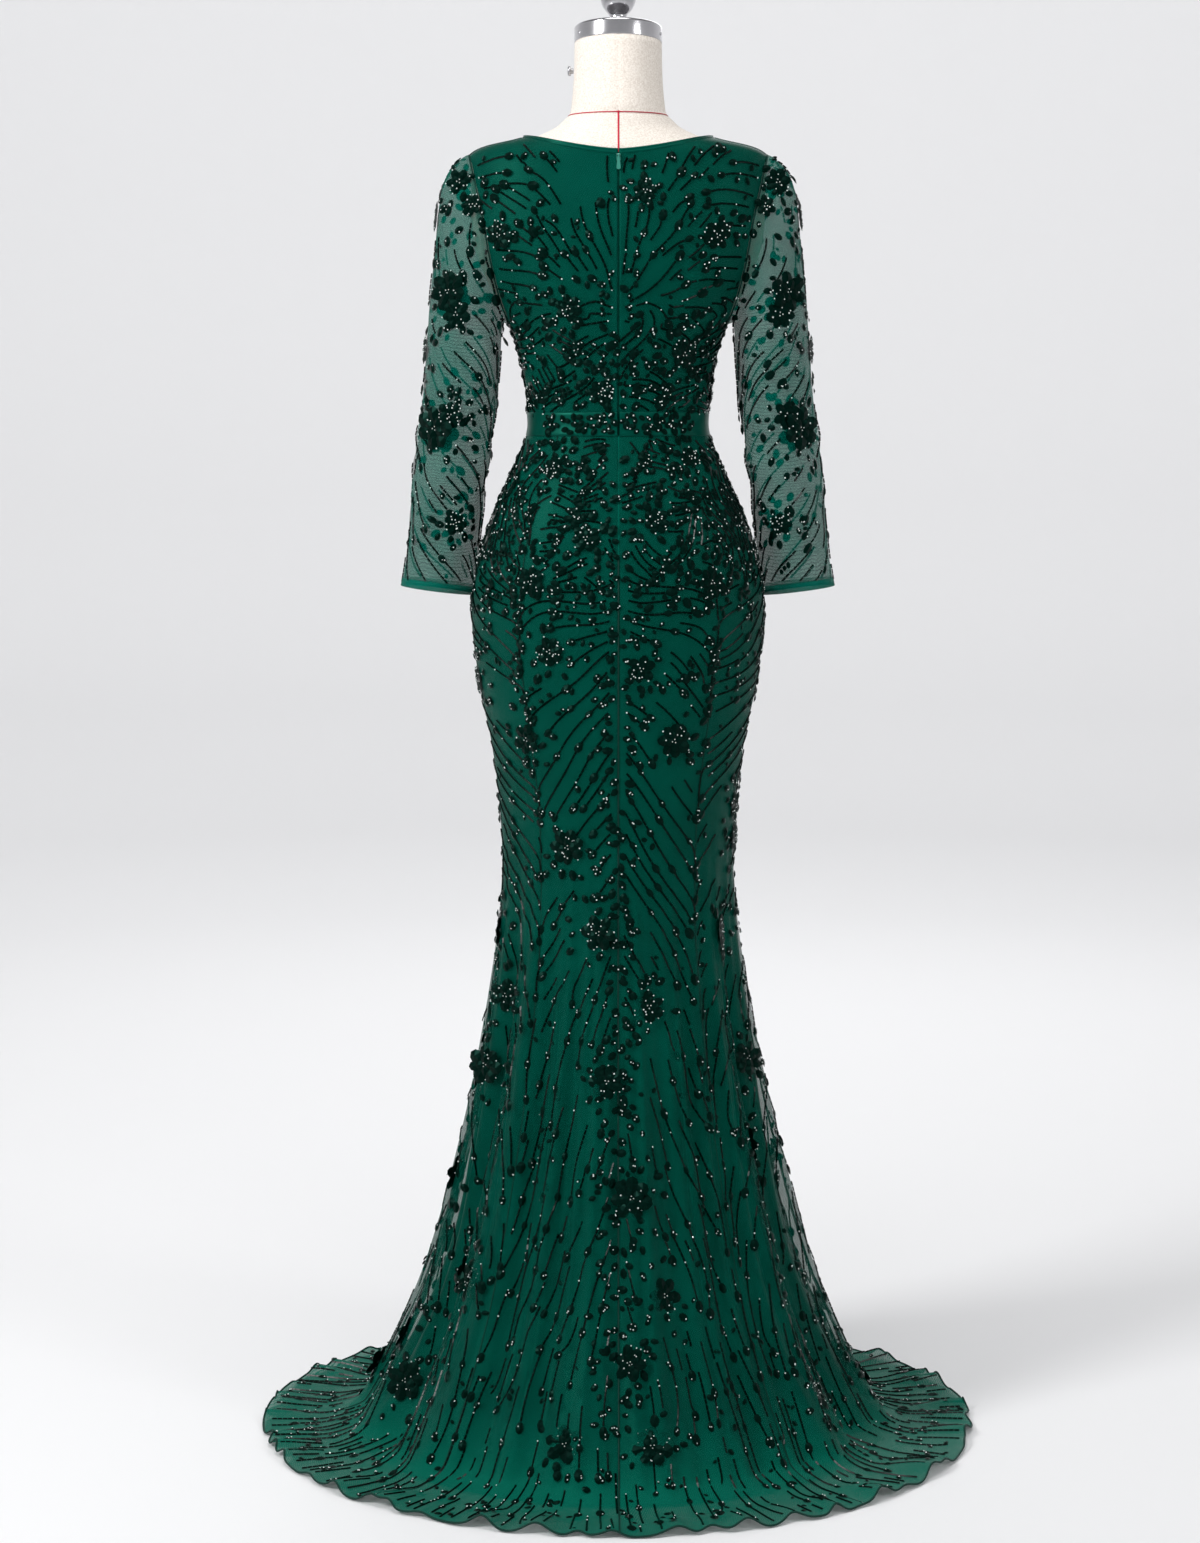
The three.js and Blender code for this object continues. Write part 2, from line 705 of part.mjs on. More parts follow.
function zipPull() {
  const outline = new THREE.Shape();
  outline.moveTo(-0.9, 0);
  outline.lineTo(-0.9, -2.4);
  outline.bezierCurveTo(-1.4, -7, -2.5, -12, -2.5, -16);
  outline.absarc(0, -16, 2.5, Math.PI, 2 * Math.PI, false);
  outline.bezierCurveTo(2.5, -12, 1.4, -7, 0.9, -2.4);
  outline.lineTo(0.9, 0);
  const thickness = 1.1;
  const blade = new THREE.ExtrudeGeometry(outline, {
    depth: thickness,
    bevelEnabled: false,
    curveSegments: 8,
  });
  blade.rotateX(Math.PI / 2).translate(0, thickness / 2, 0);
  const eye = solidOf(rod(eyeRadius, eyeLength));
  const hole = solidOf(rod(eyeHole, eyeLength + 2));
  return geometryOf(solidOf(blade).add(eye).subtract(hole));
}

// The form: rings of the body drawn in from the gown, then the neck.
const formAngles = Array.from({ length: 36 }, (_, k) => k * columnAngle);

function formSection(z) {
  const raise = shoulderDrop * smooth(z, 1540, 1600) * (1 - smooth(z, 1640, 1656));
  const section = sectionAtHeight(Math.min(z + raise, 1656));
  return { ...section, z };
}

function formRing(z) {
  const section = formSection(z);
  const drawnIn = {
    ...section,
    wide: section.wide - formClearance,
    back: section.back - formClearance,
    front: section.front - formClearance,
    fullness: 0.75,
  };
  return formAngles.map((angle) => sectionPoint(drawnIn, angle));
}

// A ring round the leaning neck. share is 0 at its foot and 1 at its top.
function neckRing(radius, share, above = 0) {
  const tilt = radians(neckTilt * share);
  const footHeight = 1656;
  const centre = new THREE.Vector3(
    0,
    THREE.MathUtils.lerp(0, neckTopY, share) - above * Math.sin(radians(neckTilt)),
    THREE.MathUtils.lerp(footHeight, neckTopHeight, share) + above * Math.cos(radians(neckTilt)),
  );
  return formAngles.map((angle) => {
    const across = radius * Math.sin(radians(angle));
    const behind = radius * Math.cos(radians(angle));
    return new THREE.Vector3(
      centre.x + across,
      centre.y + behind * Math.cos(tilt),
      centre.z + behind * Math.sin(tilt),
    );
  });
}

// A closed body from rings, with flat ends.
function ringsGeometry(rings) {
  const points = [];
  const rows = rings.map((ring) => ring.map((point) => points.push(point) - 1));
  const triangles = [];
  for (let i = 0; i + 1 < rows.length; i += 1) triangles.push(...stitch(rows[i], rows[i + 1], true));
  const middle = (ring) => {
    const sum = ring.reduce((total, point) => total.add(point), new THREE.Vector3());
    return points.push(sum.divideScalar(ring.length)) - 1;
  };
  const top = middle(rings[0]);
  const bottom = middle(rings.at(-1));
  const n = rows[0].length;
  for (let k = 0; k < n; k += 1) {
    triangles.push(top, rows[0][(k + 1) % n], rows[0][k]);
    triangles.push(bottom, rows.at(-1)[k], rows.at(-1)[(k + 1) % n]);
  }
  return closedGeometry(points, triangles);
}

function formTorso() {
  const heights = [
    1652, 1643, 1634, 1624, 1613, 1600, 1565, 1515, 1470, 1434, 1400, 1368, 1318, 1276, 1262,
    1235, 1180, 1115, 1040, 950, formBottom,
  ];
  return ringsGeometry([
    neckRing(capRadius - 0.4, 1),
    neckRing(55, 0.5),
    neckRing(57.4, 0.16),
    ...heights.map(formRing),
  ]);
}

function lathe(profile, sides = 32) {
  const points = profile.map(([radius, height]) => new THREE.Vector2(radius, height));
  return new THREE.LatheGeometry(points, sides).rotateX(Math.PI / 2);
}

function neckCap() {
  return lathe([
    [0, 0],
    [capRadius - 1, 0],
    [capRadius, 1],
    [capRadius, capHeight - 2],
    [capRadius - 2, capHeight],
    [0, capHeight],
  ]);
}

function finial() {
  return lathe(
    [
      [0, 0],
      [12.4, 0],
      [12.4, 6],
      [10.4, 9],
      [10.6, 13],
      [15, 18],
      [20, 26],
      [22, 35],
      [20, 44],
      [14, 51],
      [6, 54.5],
      [0, 55],
    ],
    24,
  );
}

function neckButton() {
  return lathe(
    [
      [0, 0],
      [3.4, 0],
      [3.4, 3],
      [6, 3.4],
      [6, 6],
      [4.6, 7.2],
      [0, 7.6],
    ],
    16,
  );
}

function pole() {
  const length = formBottom - baseThickness - 0.6;
  return new THREE.CylinderGeometry(poleRadius, poleRadius, length, 24).rotateX(Math.PI / 2);
}

function standBase() {
  return lathe(
    [
      [0, 0],
      [baseRadius - 2, 0],
      [baseRadius, 2],
      [baseRadius, baseThickness - 3],
      [baseRadius - 4, baseThickness],
      [0, baseThickness],
    ],
    48,
  );
}

// Finishes
const finish = (color, roughness, metalness = 0) =>
  new THREE.MeshStandardMaterial({ color, roughness, metalness });
const tulle = finish(0x0b4a3a, 0.6);
const satin = finish(0x0a5f48, 0.35);
const linen = finish(0xeee6dc, 0.85);
const steel = finish(0xc8c8ca, 0.2, 1);
const zipMetal = finish(0x2f8f7c, 0.35);

const gown = new THREE.Group();
function add(name, geometry, material, parent = gown) {
  const mesh = new THREE.Mesh(geometry, material);
  mesh.name = name;
  parent.add(mesh);
  return mesh;
}

add("bodice_front", wallGeometry(wholeRows(frontHalf), wholeRows(frontHalfInner)), tulle);
add("bodice_back_left", wallGeometry(backHalf, backHalfInner), tulle);
add("bodice_back_right", wallGeometry(mirrored(backHalf), mirrored(backHalfInner)), tulle);
add("neck_binding_front", wallGeometry(frontBinding, frontBindingInner), satin);
add("neck_binding_back_left", wallGeometry(backBinding, backBindingInner), satin);
add("neck_binding_back_right", wallGeometry(mirrored(backBinding), mirrored(backBindingInner)), satin);
add("waistband_back_left", bandPanel(0, 90, [zipGap / 2, seamGap / 2]), satin);
add("waistband_front", bandPanel(90, 270, [seamGap / 2, seamGap / 2]), satin);
add("waistband_back_right", bandPanel(270, 360, [seamGap / 2, zipGap / 2]), satin);
add("skirt_centre_back_left", skirtPanel(0, princessAngle, 2.5), tulle);
add("skirt_side_back_left", skirtPanel(princessAngle, 90, 2.5), tulle);
add("skirt_front", skirtPanel(90, 270, 2), tulle);
add("skirt_side_back_right", skirtPanel(270, 360 - princessAngle, 2.5), tulle);
add("skirt_centre_back_right", skirtPanel(360 - princessAngle, 360, 2.5), tulle);
add("skirt_lining_back", liningPanel(-90, 90), satin);
add("skirt_lining_front", liningPanel(90, 270), satin);
for (const [name, side] of [["left", 1], ["right", -1]]) {
  add("sleeve_" + name, sleeve(side), tulle);
  add("sleeve_hem_" + name, sleeveHem(side), tulle);
}
add("zip_tape", zipTape(), satin);

const zipHeight = 1601;
const zipSlope = Math.atan((bodyDepth(0, zipHeight - 10, 1) - bodyDepth(0, zipHeight + 2, 1)) / 12);
const zipGroup = new THREE.Group();
zipGroup.position.set(0, bodyDepth(0, zipHeight, 1) + seamGap / 2 + pinOut, zipHeight);
zipGroup.rotation.x = zipSlope;
gown.add(zipGroup);
add("zip_slider", zipSlider(), zipMetal, zipGroup);
add("zip_pull", zipPull(), zipMetal, zipGroup);

add("form_torso", formTorso(), linen);
const capGroup = new THREE.Group();
capGroup.position.set(0, neckTopY, neckTopHeight);
capGroup.rotation.x = radians(neckTilt);
gown.add(capGroup);
add("form_neck_cap", neckCap(), steel, capGroup).position.z = 0.3;
add("form_finial", finial(), steel, capGroup).position.z = capHeight + 0.6;
const button = add("form_neck_button", neckButton(), steel);
button.rotation.y = Math.PI / 2;
button.position.set(55.3, -8, 1710);
add("form_pole", pole(), steel).position.z = (formBottom + baseThickness) / 2;
add("form_base", standBase(), steel);

export default gown;
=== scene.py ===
import math

import bpy
import numpy as np
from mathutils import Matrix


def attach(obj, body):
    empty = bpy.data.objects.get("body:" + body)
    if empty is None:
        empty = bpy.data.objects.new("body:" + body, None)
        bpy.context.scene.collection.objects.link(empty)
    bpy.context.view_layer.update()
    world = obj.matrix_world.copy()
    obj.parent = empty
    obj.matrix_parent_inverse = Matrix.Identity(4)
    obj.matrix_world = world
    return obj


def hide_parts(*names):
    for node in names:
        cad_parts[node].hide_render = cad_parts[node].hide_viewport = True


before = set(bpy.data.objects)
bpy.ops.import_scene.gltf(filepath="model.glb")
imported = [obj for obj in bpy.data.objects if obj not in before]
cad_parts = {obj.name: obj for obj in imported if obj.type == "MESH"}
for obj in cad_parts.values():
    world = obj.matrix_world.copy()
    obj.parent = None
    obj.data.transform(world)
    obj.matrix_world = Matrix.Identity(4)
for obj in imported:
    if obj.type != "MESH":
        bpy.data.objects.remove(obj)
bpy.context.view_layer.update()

gownBody = "gown_on_form"
rng = np.random.default_rng(27)
print("frame loaded")

# Sections of the gown's body in mm: height, half width, depth behind and before, and how square the curve is.
bodySections = np.array([
    (1656, 61, 58, 56, 2), (1650, 71, 62, 58, 2), (1641, 88, 67, 61, 2), (1629, 117, 73, 64, 2),
    (1607, 184, 84, 70, 2), (1560, 186, 92, 79, 2.2), (1523, 184, 97, 87, 2.2), (1486, 178, 99, 93, 2.2),
    (1434, 156, 98, 97, 2.3), (1400, 136, 95, 96, 2.3), (1368, 124.5, 92, 94, 2.2),
    (1318, 114.8, 87, 91, 2.1),
    (1290, 112.5, 85, 90, 2.1), (1262, 114, 87, 91, 2.1), (1219, 132, 100, 97, 2.1),
    (1169, 154, 113, 101, 2.2),
    (1119, 171, 122, 104, 2.2), (1043, 183.7, 128, 106, 2.2), (955, 175, 125, 105, 2.2),
    (879, 160, 122, 103, 2.2),
    (802, 150, 121, 101, 2.1), (725, 147, 124, 103, 2.1), (649, 153, 131, 108, 2), (571, 165, 144, 117, 2),
    (493, 180, 161, 130, 2), (415, 197, 182, 147, 2), (337, 217, 206, 168, 2), (258, 238, 233, 193, 2),
    (179, 264, 265, 222, 2), (100, 299, 305, 262, 2), (45, 328, 336, 294, 2), (15, 348, 356, 315, 2),
    (5, 372, 380, 338, 2), (3, 412, 416, 369, 2), (2, 456, 456, 401, 2),
]) / [1000, 1000, 1000, 1000, 1]
sectionAlong = -np.cumsum(np.hypot(*np.diff(bodySections[:, :2], axis=0, prepend=bodySections[:1, :2]).T))
hemAlong = sectionAlong[-1]

# How far inside the tulle the satin hangs, by height, and its own hem on the floor, in mm
liningInside = np.array([
    (1700, 1.0), (700, 1.2), (640, 2), (571, 5), (493, 8), (415, 14), (337, 20), (258, 25), (179, 26),
    (100, 24), (45, 19), (15, 15),
]) / 1000
liningHem = (0.347, 0.350, 0.312)

# The big folds of the flare: place in degrees from the centre back, spread, depth in mm, and drift on the way down
folds = np.array([
    (58, 6.5, 16, 4), (31, 5, 11, 3), (18, 4.5, 9, 2), (0, 4, 6, 0), (-17, 5, 7, -2), (-30, 4.5, 11, -3),
    (-43, 5, 9, -2), (-63, 6.5, 15, -4), (84, 6, 10, 2), (108, 7, 14, 0), (134, 6, 10, -2), (158, 7, 13, 0),
    (-176, 6, 8, 0), (-150, 7, 14, 0), (-124, 6, 9, 2), (-100, 7, 13, 0),
])
foldDepth, creaseDepth = 2.5, 2.7
# Small creases laid between the big folds, the same way
creases = np.array([
    (72, 2.4, 4.5, 5), (47, 2.2, 3.5, 4), (39, 1.8, 3, 2), (24.5, 1.7, 4, 3), (11, 1.9, 3.5, 1),
    (5.5, 1.4, 2, 1),
    (-6, 1.5, 3, -1), (-11, 1.8, 2.5, -2), (-23.5, 2, 4, -2), (-36, 1.8, 3.5, -3), (-52, 2.3, 4, -5),
    (-73, 2.5, 4.5, -4), (96, 2.4, 4, 1), (121, 2.6, 5, -2), (146, 2.2, 3.5, 0), (169, 2.4, 4, 1),
    (-165, 2.2, 3.5, 1), (-138, 2.6, 4.5, 2), (-112, 2.4, 4, 0), (-90, 2.2, 3.5, 2),
])

# Edge of the armhole: half width by height, behind and before, in mm
armholeHeights = np.array([1607, 1560, 1523, 1486, 1434, 1400]) / 1000
armholeBack = np.array([184, 173.5, 165, 159, 147, 136]) / 1000
armholeFront = np.array([184, 169, 158, 152, 145, 136]) / 1000

# The sleeve below the armpit in mm: height, centre, and half width across and fore and aft
sleeveRings = np.array([
    (1388, 191, -2, 46, 54), (1310, 198.5, -6, 46, 51), (1230, 208, -13, 45.5, 48),
    (1150, 218, -24, 44.5, 45),
    (1078, 226.5, -36, 46, 45.5), (1066, 228, -38, 46.8, 46),
]) / 1000


def curveThrough(keys, values, at):
    at = np.asarray(at, float)
    last = len(keys) - 1
    slopes = np.empty(len(keys))
    for j in range(len(keys)):
        before, after = max(j - 1, 0), min(j + 1, last)
        slopes[j] = (values[after] - values[before]) / (keys[after] - keys[before])
    i = np.clip(np.searchsorted(-np.asarray(keys), -at, side="right") - 1, 0, last - 1)
    step = keys[i + 1] - keys[i]
    t = np.clip((at - keys[i]) / step, 0, 1)
    rise = values[i + 1] - values[i]
    return (values[i] + rise * (3 * t**2 - 2 * t**3) + slopes[i] * step * (t**3 - 2 * t**2 + t)
            + slopes[i + 1] * step * (t**3 - t**2))


def smooth(x, low, high):
    t = np.clip((np.asarray(x, float) - low) / (high - low), 0, 1)
    return t * t * (3 - 2 * t)


alongSteps = np.linspace(0, hemAlong, 6001)
heightSteps = curveThrough(sectionAlong, bodySections[:, 0], alongSteps)


def alongAtHeight(z):
    return np.interp(-np.asarray(z, float), -heightSteps, alongSteps)


def sectionAt(along):
    return [curveThrough(sectionAlong, bodySections[:, c], along) for c in range(5)]


def bust(x, z):
    return 0.020 * np.exp(-(((np.abs(x) - 0.078) / 0.046) ** 2) - ((z - 1.437) / 0.046) ** 2)


def ridges(table, angle, grown):
    total = 0
    for at, spread, depth, drift in table:
        turn = (angle - at - drift * grown + 180) % 360 - 180
        total = total + depth / 1000 * np.exp(-((turn / spread) ** 2))
    return total


# The pinched waves of the rolled hem, unevenly spaced: angle, height in mm, width in degrees, pull inwards in mm
hem = {"waves": 50, "unevenness": 2.6, "height": (4, 13), "width": (1.1, 2.3), "pinch": (1, 7),
       "reach": 0.085}
waveAngles = (np.arange(hem["waves"]) + rng.uniform(-0.36, 0.36, hem["waves"])) * 360 / hem["waves"]
hemWaves = np.array([
    waveAngles, rng.uniform(*hem["height"], hem["waves"]), rng.uniform(*hem["width"], hem["waves"]),
    rng.uniform(*hem["pinch"], hem["waves"]),
]).T


def hemShape(angle):
    lift, pull = 0.0012 * (1 + np.sin(np.radians(angle * 31) + 2 * np.sin(np.radians(angle * 4)))), 0
    for at, height, width, pinch in hemWaves:
        turn = (angle - at + 180) % 360 - 180
        bump = np.exp(-((turn / width) ** 2))
        lift = lift + height / 1000 * bump
        pull = pull + pinch / 1000 * bump
    return lift, pull


def sectionPoint(angle, z, wide, back, front, square):
    s, c = np.sin(np.radians(angle)), np.cos(np.radians(angle))
    power = 2 / square
    x = wide * np.sign(s) * np.abs(s) ** power
    y = np.where(c > 0, back, front) * np.sign(c) * np.abs(c) ** power
    y = np.where(c > 0, y, y - bust(x, z) * np.abs(c) ** power)
    return x, y


def bodySurface(angle, along, inside=0.0, small=1.0):
    angle, along = np.broadcast_arrays(np.asarray(angle, float), np.asarray(along, float))
    z, wide, back, front, square = sectionAt(along)
    x, y = sectionPoint(angle, z, wide, back, front, square)
    grown = 1 - smooth(z, 0.28, 0.80)
    onFloor = smooth(z, 0.002, 0.020)
    depth = ridges(folds, angle, grown) * foldDepth * grown * onFloor
    depth = depth + small * ridges(creases, angle, grown) * creaseDepth * smooth(-z, -0.85,
            -0.30) * (0.25 + 0.75 * onFloor)
    lift, pull = hemShape(angle)
    nearHem = 1 - smooth(along - hemAlong, 0, hem["reach"])
    radius = np.hypot(x, y)
    inward = (depth + inside + small * pull * nearHem) / radius
    return np.stack([x * (1 - inward), y * (1 - inward), z + small * lift * nearHem], -1)


def bodyDepth(x, z, sign):
    along = alongAtHeight(z)
    _, wide, back, front, square = sectionAt(along)
    share = np.minimum(np.abs(x) / wide, 1)
    rest = (1 - share**square) ** (1 / square)
    return sign * (back if sign > 0 else front + bust(x, z)) * rest


def gridNormals(points, closed=False):
    across = np.gradient(points, axis=1)
    if closed:
        across = (np.roll(points, -1, 1) - np.roll(points, 1, 1)) / 2
    down = np.gradient(points, axis=0)
    normal = np.cross(across, down)
    return normal / np.maximum(np.linalg.norm(normal, axis=2, keepdims=True), 1e-12)


# Materials

def hexColour(code):
    parts = [int(code[i:i + 2], 16) / 255 for i in (1, 3, 5)]
    return (*[p / 12.92 if p <= 0.04045 else ((p + 0.055) / 1.055) ** 2.4 for p in parts], 1)


def addNode(tree, kind, settings=None, links=None):
    node = tree.nodes.new(kind)
    for key, value in (settings or {}).items():
        if isinstance(key, str) and hasattr(node, key):
            setattr(node, key, value)
        else:
            node.inputs[key].default_value = value
    for key, socket in (links or {}).items():
        tree.links.new(socket, node.inputs[key])
    return node


def newMaterial(name, settings):
    material = bpy.data.materials.new(name)
    material.use_nodes = True
    tree = material.node_tree
    shader = tree.nodes["Principled BSDF"]
    for key, value in settings.items():
        shader.inputs[key].default_value = value
    return material, tree, shader


def clothCoordinates(tree):
    return addNode(tree, "ShaderNodeUVMap", {"uv_map": "cloth"}).outputs["UV"]


cloth = {"satin": "#006050", "satinShade": "#00493c", "tulle": "#005244", "tulleThread": "#00342b",
         "gloss": "#1f9c82"}


# Polyester satin, woven with long floats: a soft, wide gloss and faint streaks along the warp
def duchessSatin(name, light, dark):
    material, tree, shader = newMaterial(name, {
        "Roughness": 0.38, "Specular IOR Level": 0.8, "Specular Tint": hexColour(cloth["gloss"])})
    uv = clothCoordinates(tree)
    streaks = addNode(tree, "ShaderNodeMapping", {"Scale": (900, 12, 1)}, {"Vector": uv})
    threads = addNode(tree, "ShaderNodeTexNoise", {"Scale": 1.0, "Detail": 3.0},
                      {"Vector": streaks.outputs[0]})
    cloudy = addNode(tree, "ShaderNodeTexNoise", {"Scale": 9.0, "Detail": 2.0}, {"Vector": uv})
    ramp = addNode(tree, "ShaderNodeMapRange", {"From Min": 0.35, "From Max": 0.65},
                   {"Value": cloudy.outputs["Fac"]})
    colour = addNode(tree, "ShaderNodeMix", {"data_type": "RGBA"}, {"Factor": ramp.outputs[0]})
    colour.inputs["A"].default_value = hexColour(dark)
    colour.inputs["B"].default_value = hexColour(light)
    bump = addNode(tree, "ShaderNodeBump", {"Strength": 0.12, "Distance": 0.0004},
                   {"Height": threads.outputs["Fac"]})
    tree.links.new(colour.outputs["Result"], shader.inputs["Base Color"])
    tree.links.new(bump.outputs[0], shader.inputs["Normal"])
    return material


# Nylon tulle, knitted in small cells: threads with open holes, so that it veils what is behind it, and closer where
# it is gathered on the floor. The cells are drawn 2.4 mm wide, because real ones of 1.2 mm are too fine to show.
def nylonTulle(name, cover, coverOnFloor, colourCode, threadCode, floorLightCode):
    material, tree, shader = newMaterial(name, {"Roughness": 0.6, "Specular IOR Level": 0.25,
                                                "Specular Tint": hexColour(cloth["gloss"])})
    uv = clothCoordinates(tree)
    cells = addNode(tree, "ShaderNodeMapping",
                    {"Scale": (1 / 0.0024, 1 / 0.0021, 1), "Rotation": (0, 0, 0.5)},
                    {"Vector": uv})
    net = addNode(tree, "ShaderNodeTexVoronoi",
                  {"feature": "DISTANCE_TO_EDGE", "Scale": 1.0, "Randomness": 0.35},
                  {"Vector": cells.outputs[0]})
    thread = addNode(tree, "ShaderNodeMapRange",
                     {"From Min": 0.04, "From Max": 0.2, "To Min": 1.0, "To Max": 0.0},
                     {"Value": net.outputs["Distance"]})
    place = addNode(tree, "ShaderNodeTexCoord")
    height = addNode(tree, "ShaderNodeSeparateXYZ", {}, {"Vector": place.outputs["Object"]})
    closer = addNode(tree, "ShaderNodeMapRange", {"From Min": 0.01, "From Max": 0.09, "To Min": coverOnFloor,
                                                  "To Max": cover}, {"Value": height.outputs["Z"]})
    netShade = addNode(tree, "ShaderNodeMapRange", {"To Min": -0.14, "To Max": 0.12},
                       {"Value": thread.outputs[0]})
    patches = addNode(tree, "ShaderNodeTexNoise", {"Scale": 14.0, "Detail": 2.0}, {"Vector": uv})
    uneven = addNode(tree, "ShaderNodeMapRange",
                     {"From Min": 0.3, "From Max": 0.7, "To Min": -0.05, "To Max": 0.05},
                     {"Value": patches.outputs["Fac"]})
    veil = addNode(tree, "ShaderNodeMath", {"operation": "ADD"},
                   {0: closer.outputs[0], 1: netShade.outputs[0]})
    alpha = addNode(tree, "ShaderNodeMath", {"operation": "ADD", "use_clamp": True},
                    {0: veil.outputs[0], 1: uneven.outputs[0]})
    colour = addNode(tree, "ShaderNodeMix", {"data_type": "RGBA"}, {"Factor": thread.outputs[0]})
    colour.inputs["A"].default_value = hexColour(colourCode)
    colour.inputs["B"].default_value = hexColour(threadCode)
    # Painted light: tulle lying near the floor is coloured a lighter green, standing in for the bright floor's light
    # scattered through the net
    low = addNode(tree, "ShaderNodeMapRange",
                  {"From Min": 0.01, "From Max": 0.09, "To Min": 1.0, "To Max": 0.0},
                  {"Value": height.outputs["Z"]})
    lit = addNode(tree, "ShaderNodeMix", {"data_type": "RGBA"}, {"Factor": low.outputs[0]})
    tree.links.new(colour.outputs["Result"], lit.inputs["A"])
    lit.inputs["B"].default_value = hexColour(floorLightCode)
    tree.links.new(lit.outputs["Result"], shader.inputs["Base Color"])
    tree.links.new(alpha.outputs[0], shader.inputs["Alpha"])
    return material


# A small hard trim, glass, plastic or metal, with a slight change of tone from bead to bead
def trim(name, light, dark, settings, grain=2500):
    material, tree, shader = newMaterial(name, settings)
    place = addNode(tree, "ShaderNodeTexCoord")
    noise = addNode(tree, "ShaderNodeTexNoise", {"Scale": grain, "Detail": 1.0},
                    {"Vector": place.outputs["Object"]})
    colour = addNode(tree, "ShaderNodeMix", {"data_type": "RGBA"}, {"Factor": noise.outputs["Fac"]})
    colour.inputs["A"].default_value = hexColour(dark)
    colour.inputs["B"].default_value = hexColour(light)
    tree.links.new(colour.outputs["Result"], shader.inputs["Base Color"])
    return material


# Linen, plain woven and pulled tight: matt, with slubs across and along. Threads are drawn 0.9 mm apart.
def wovenLinen():
    material, tree, shader = newMaterial("wovenLinen", {"Roughness": 0.85, "Sheen Weight": 0.15,
                                                        "Specular IOR Level": 0.25})
    place = addNode(tree, "ShaderNodeTexCoord")
    heights = []
    for scale in ((350, 350, 1100), (1100, 1100, 300)):
        stretch = addNode(tree, "ShaderNodeMapping", {"Scale": scale}, {"Vector": place.outputs["Object"]})
        noise = addNode(tree, "ShaderNodeTexNoise", {"Scale": 1.0, "Detail": 2.0},
                        {"Vector": stretch.outputs[0]})
        heights.append(noise.outputs["Fac"])
    weave = addNode(tree, "ShaderNodeMath", {"operation": "ADD"}, {0: heights[0], 1: heights[1]})
    tone = addNode(tree, "ShaderNodeMapRange", {"From Min": 0.8, "From Max": 1.2},
                   {"Value": weave.outputs[0]})
    colour = addNode(tree, "ShaderNodeMix", {"data_type": "RGBA"}, {"Factor": tone.outputs[0]})
    colour.inputs["A"].default_value = hexColour("#d9cec2")
    colour.inputs["B"].default_value = hexColour("#f3ece3")
    bump = addNode(tree, "ShaderNodeBump", {"Strength": 0.35, "Distance": 0.0004},
                   {"Height": weave.outputs[0]})
    tree.links.new(colour.outputs["Result"], shader.inputs["Base Color"])
    tree.links.new(bump.outputs[0], shader.inputs["Normal"])
    return material


# Metal with fine turning or brushing lines round it
def turnedMetal(name, code, roughness, lines):
    material, tree, shader = newMaterial(name, {"Metallic": 1.0, "Base Color": hexColour(code)})
    place = addNode(tree, "ShaderNodeTexCoord")
    stretch = addNode(tree, "ShaderNodeMapping", {"Scale": (40, 40, lines)},
                      {"Vector": place.outputs["Object"]})
    noise = addNode(tree, "ShaderNodeTexNoise", {"Scale": 1.0, "Detail": 3.0}, {"Vector": stretch.outputs[0]})
    rough = addNode(tree, "ShaderNodeMapRange", {"To Min": roughness * 0.7, "To Max": roughness * 1.4},
                    {"Value": noise.outputs["Fac"]})
    bump = addNode(tree, "ShaderNodeBump", {"Strength": 0.05, "Distance": 0.0002},
                   {"Height": noise.outputs["Fac"]})
    tree.links.new(rough.outputs[0], shader.inputs["Roughness"])
    tree.links.new(bump.outputs[0], shader.inputs["Normal"])
    return material


satin = duchessSatin("duchessSatin", cloth["satin"], cloth["satinShade"])
bandSatin = duchessSatin("duchessSatinBand", "#004337", "#00392f")
# The last colour of each tulle is its painted floor light; only the tulle over satin is lighter there
backedTulle = nylonTulle("nylonTulleOverSatin", 0.60, 0.90, cloth["tulle"], cloth["tulleThread"], "#04604f")
sheerTulle = nylonTulle("nylonTulleSheer", 0.71, 0.71, "#00685a", "#00493d", "#00685a")
hemBandTulle = nylonTulle("nylonTulleFolded", 0.86, 0.86, "#00695a", "#004f43", "#00695a")
# Cut glass bugles, nearly black-green: small sharp glints along each string
bugleGlass = trim("bottleGreenGlass", "#011712", "#000604", {"Roughness": 0.22, "Specular IOR Level": 0.12})
# Pressed polyester sequins: dark, with a broad oily sheen
sequinFilm = trim("sequinPolyester", "#021b15", "#000604", {"Roughness": 0.32, "Specular IOR Level": 0.12,
                                                          "Specular Tint": hexColour("#58b8a2")})
# Crystal beads coloured near-white: painted glints, bright points standing in for the light that clear crystal reflects
crystal = trim("crystalPaintedGlint", "#f4f9f7", "#d3dfdb", {"Roughness": 0.12, "Specular IOR Level": 0.6})
thread = trim("polyesterThread", "#003b31", "#00241d", {"Roughness": 0.6, "Specular IOR Level": 0.2}, 900)
linen = wovenLinen()
redTape = trim("cottonTapeRed", "#cf1638", "#b3102d", {"Roughness": 0.8, "Sheen Weight": 0.2}, 700)
chrome = turnedMetal("chromedSteel", "#d4d3d6", 0.16, 2500)
standSteel = turnedMetal("brushedSteel", "#bdbdc0", 0.34, 900)
zipLacquer = trim("zipLacquer", "#3f9c8a", "#2c7b6b",
                  {"Roughness": 0.28, "Metallic": 0.3, "Coat Weight": 0.5})
print("materials made")


# Pieces

